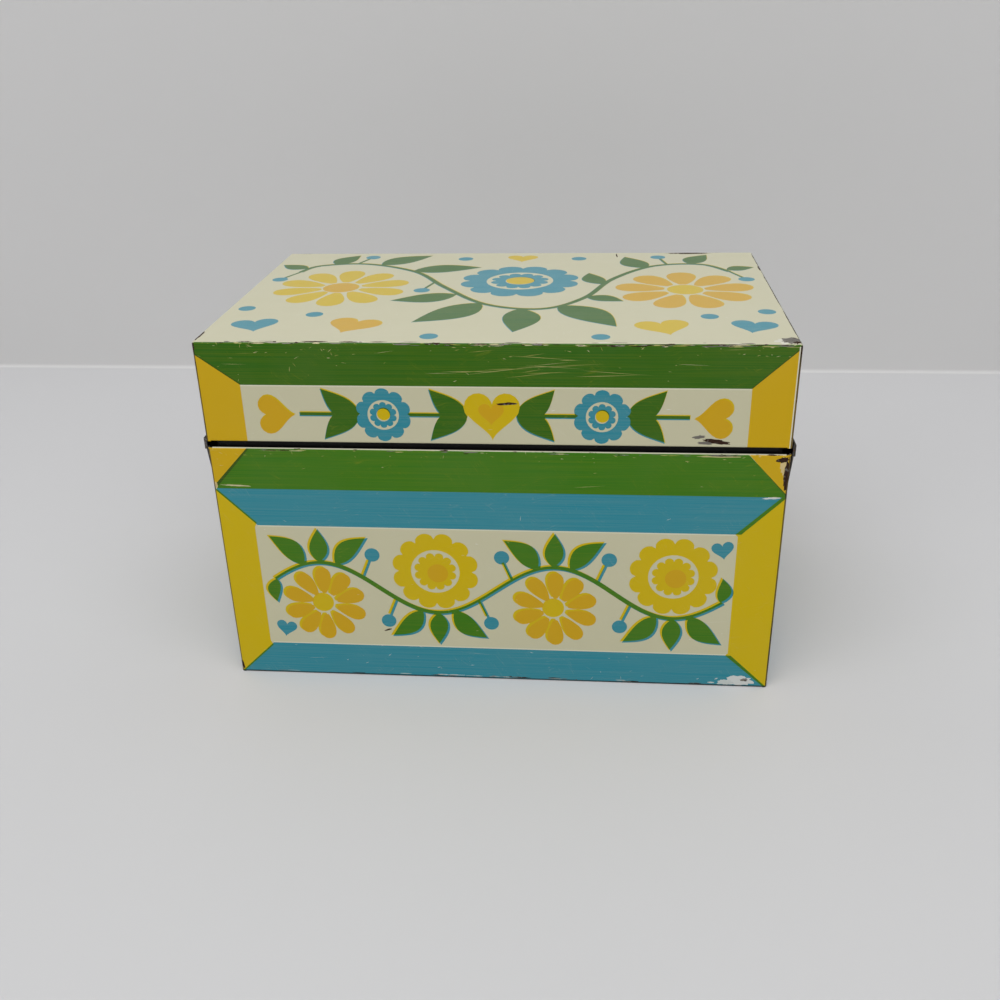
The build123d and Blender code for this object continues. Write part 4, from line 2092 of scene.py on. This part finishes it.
@dataclass
class CardBox:
    """The whole box: the printed base and lid, and the plain pieces inside them.

    Attributes:
        design: The print.
        effects: The shared effects.
        base_wear: How far the base's folds are worn.
        base_green: Colour of the green on the base.
        lid_wear: How far the lid's folds are worn.
        lid_green: Colour of the green on the lid.
    """

    design: PrintDesign
    effects: Effects
    base_wear: float = 0.45
    base_green: Color = (0.036, 0.172, 0.005, 1.0)
    lid_wear: float = 0.55
    lid_green: Color = (0.023, 0.122, 0.003, 1.0)

    def build(self) -> None:
        """Build the printed shells and dress the CAD nodes."""
        design, effects = self.design, self.effects
        lacquer = BlackLacquer().make(effects)
        # Cut edges are rusted raw steel, kept near black, which also paints the shade at the ends
        # of the lid's gap.
        edge = BareTin("cut_edge_finish", (0.05, 0.047, 0.045, 1.0), 0.5, 0.2).make(effects)
        reach = (design.half_width, design.half_depth)
        for node, body, lid, high, wear, green in (
            ("base_shell", "base", False, design.base_high, self.base_wear, self.base_green),
            ("lid_shell", "lid", True, design.lid_high, self.lid_wear, self.lid_green),
        ):
            name = f"{body}_printed_sheet"
            piece = PrintedSheet(node, body, name, design.panels(lid)).build()
            printed = PrintedTin(f"{name}_finish", reach, high, wear, green)
            for material in (printed.make(effects), lacquer, edge):
                piece.data.materials.append(material)
            log.info("%s: %d faces", piece.name, len(piece.data.polygons))
        self._dress("base_collar", lacquer)
        bottom = BareTin("bottom_finish", (0.46, 0.43, 0.36, 1.0), 0.42)
        self._dress("base_bottom", bottom.make(effects))
        wire = BareTin("hinge_wire_finish", (0.34, 0.33, 0.31, 1.0), 0.5)
        self._dress("hinge_pin", wire.make(effects))

    def _dress(self, node: str, material: bpy.types.Material) -> None:
        """Give a CAD node its finish.

        Args:
            node: The node.
            material: The finish.
        """
        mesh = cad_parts[node].data
        for index in range(len(mesh.materials)):
            mesh.materials[index] = material
        if not mesh.materials:
            mesh.materials.append(material)
        log.info("%s: dressed in %s", node, material.name)


@dataclass
class Studio:
    """Pale floor and wall, soft light, and the camera at the photograph's angle.

    Attributes:
        reach: How far the floor and the wall go to each side.
        wall_y: Place of the wall.
        wall_high: Height of the wall.
        cove: Radius of the wall's foot.
        lift: How far the foot is above the floor.
        sky: Strength of the light from all round.
        lamp_size: Side of each lamp.
        lamps: Name, place and power of each lamp.
        aim: Where the lamps point.
        camera_place: Place of the camera.
        target: Where it points.
        roll: Angle in degrees that it is turned by.
        lens: Its focal length in millimetres.
        sensor: Width of its sensor in millimetres.
    """

    reach: float = 4.0
    wall_y: float = 0.195
    wall_high: float = 1.6
    cove: float = 0.0015
    lift: float = 0.0002
    sky: float = 0.06
    lamp_size: float = 1.6
    lamps: tuple[tuple[str, Place, float], ...] = (
        ("key_softbox", (-0.45, -0.85, 1.45), 18.0),
        ("fill_softbox", (0.45, -0.85, 1.45), 14.4),
    )
    aim: Place = (0.0, 0.0, 0.05)
    camera_place: Place = (0.02237, -0.2613, 0.1581)
    target: Place = (-0.002654, 0.0, 0.02969)
    roll: float = -1.42
    lens: float = 37.89
    sensor: float = 36.0

    def build(self) -> None:
        """Build the stage, the light and the camera."""
        self._floor()
        self._light()
        self._camera()
        log.info("studio: ready")

    def _sheet(self, name: str, profile: Sequence[Point], paint: StagePaint) -> None:
        """Make a stage surface by drawing a profile across X.

        Args:
            name: Its name.
            profile: Its places in Y and Z.
            paint: Its finish.
        """
        verts = [(side * self.reach, y, z) for y, z in profile for side in (-1, 1)]
        faces = [(2 * k, 2 * k + 1, 2 * k + 3, 2 * k + 2) for k in range(len(profile) - 1)]
        mesh = bpy.data.meshes.new(name)
        mesh.from_pydata(verts, [], faces)
        mesh.shade_smooth()
        mesh.materials.append(paint.make())
        sheet = bpy.data.objects.new(name, mesh)
        bpy.context.scene.collection.objects.link(sheet)

    def _floor(self) -> None:
        """Make the floor and the wall behind the box."""
        floor = StagePaint("floor_paint", (0.615, 0.615, 0.625, 1.0))
        self._sheet("floor", [(-self.reach, 0.0), (self.reach, 0.0)], floor)
        bend: list[Point] = []
        steps = 12
        for k in range(steps + 1):
            a = math.radians(90 * k / steps)
            y = self.wall_y - self.cove + self.cove * math.sin(a)
            bend.append((y, self.lift + self.cove * (1 - math.cos(a))))
        wall = StagePaint("wall_paint", (0.66, 0.655, 0.655, 1.0), one_sided=True)
        self._sheet("wall", [*bend, (self.wall_y, self.wall_high)], wall)

    def _light(self) -> None:
        """Make the soft sky and the two large lamps."""
        world = bpy.data.worlds.new("studio_sky")
        world.use_nodes = True
        sky = world.node_tree.nodes["Background"]
        sky.inputs["Color"].default_value = (1.0, 1.0, 1.0, 1.0)
        sky.inputs["Strength"].default_value = self.sky
        bpy.context.scene.world = world
        for name, place, power in self.lamps:
            lamp = bpy.data.lights.new(name, "AREA")
            lamp.shape = "SQUARE"
            lamp.size = self.lamp_size
            lamp.energy = power
            holder = bpy.data.objects.new(name, lamp)
            holder.location = place
            way = Vector(self.aim) - Vector(place)
            holder.rotation_euler = way.to_track_quat("-Z", "Y").to_euler()
            bpy.context.scene.collection.objects.link(holder)

    def _camera(self) -> None:
        """Make the camera, which looks at its target with a little roll."""
        lens = bpy.data.cameras.new("photo_camera")
        lens.lens = self.lens
        lens.sensor_width = self.sensor
        lens.clip_start = 0.01
        lens.clip_end = 20.0
        holder = bpy.data.objects.new("photo_camera", lens)
        place = Vector(self.camera_place)
        forward = (Vector(self.target) - place).normalized()
        turn = forward.to_track_quat("-Z", "Y").to_matrix()
        right, up, back = turn.col
        c, s = math.cos(math.radians(self.roll)), math.sin(math.radians(self.roll))
        matrix = turn.to_4x4()
        for row in range(3):
            matrix[row][0] = c * right[row] + s * up[row]
            matrix[row][1] = -s * right[row] + c * up[row]
            matrix[row][2] = back[row]
            matrix[row][3] = place[row]
        holder.matrix_world = matrix
        bpy.context.scene.collection.objects.link(holder)
        bpy.context.scene.camera = holder
        bpy.context.scene.view_settings.view_transform = "Standard"


def main() -> None:
    """Build the box, then the studio round it."""
    logging.basicConfig(level=logging.INFO, format="%(message)s")
    CardBox(PrintDesign(), Effects()).build()
    Studio().build()


if __name__ == "__main__":
    main()
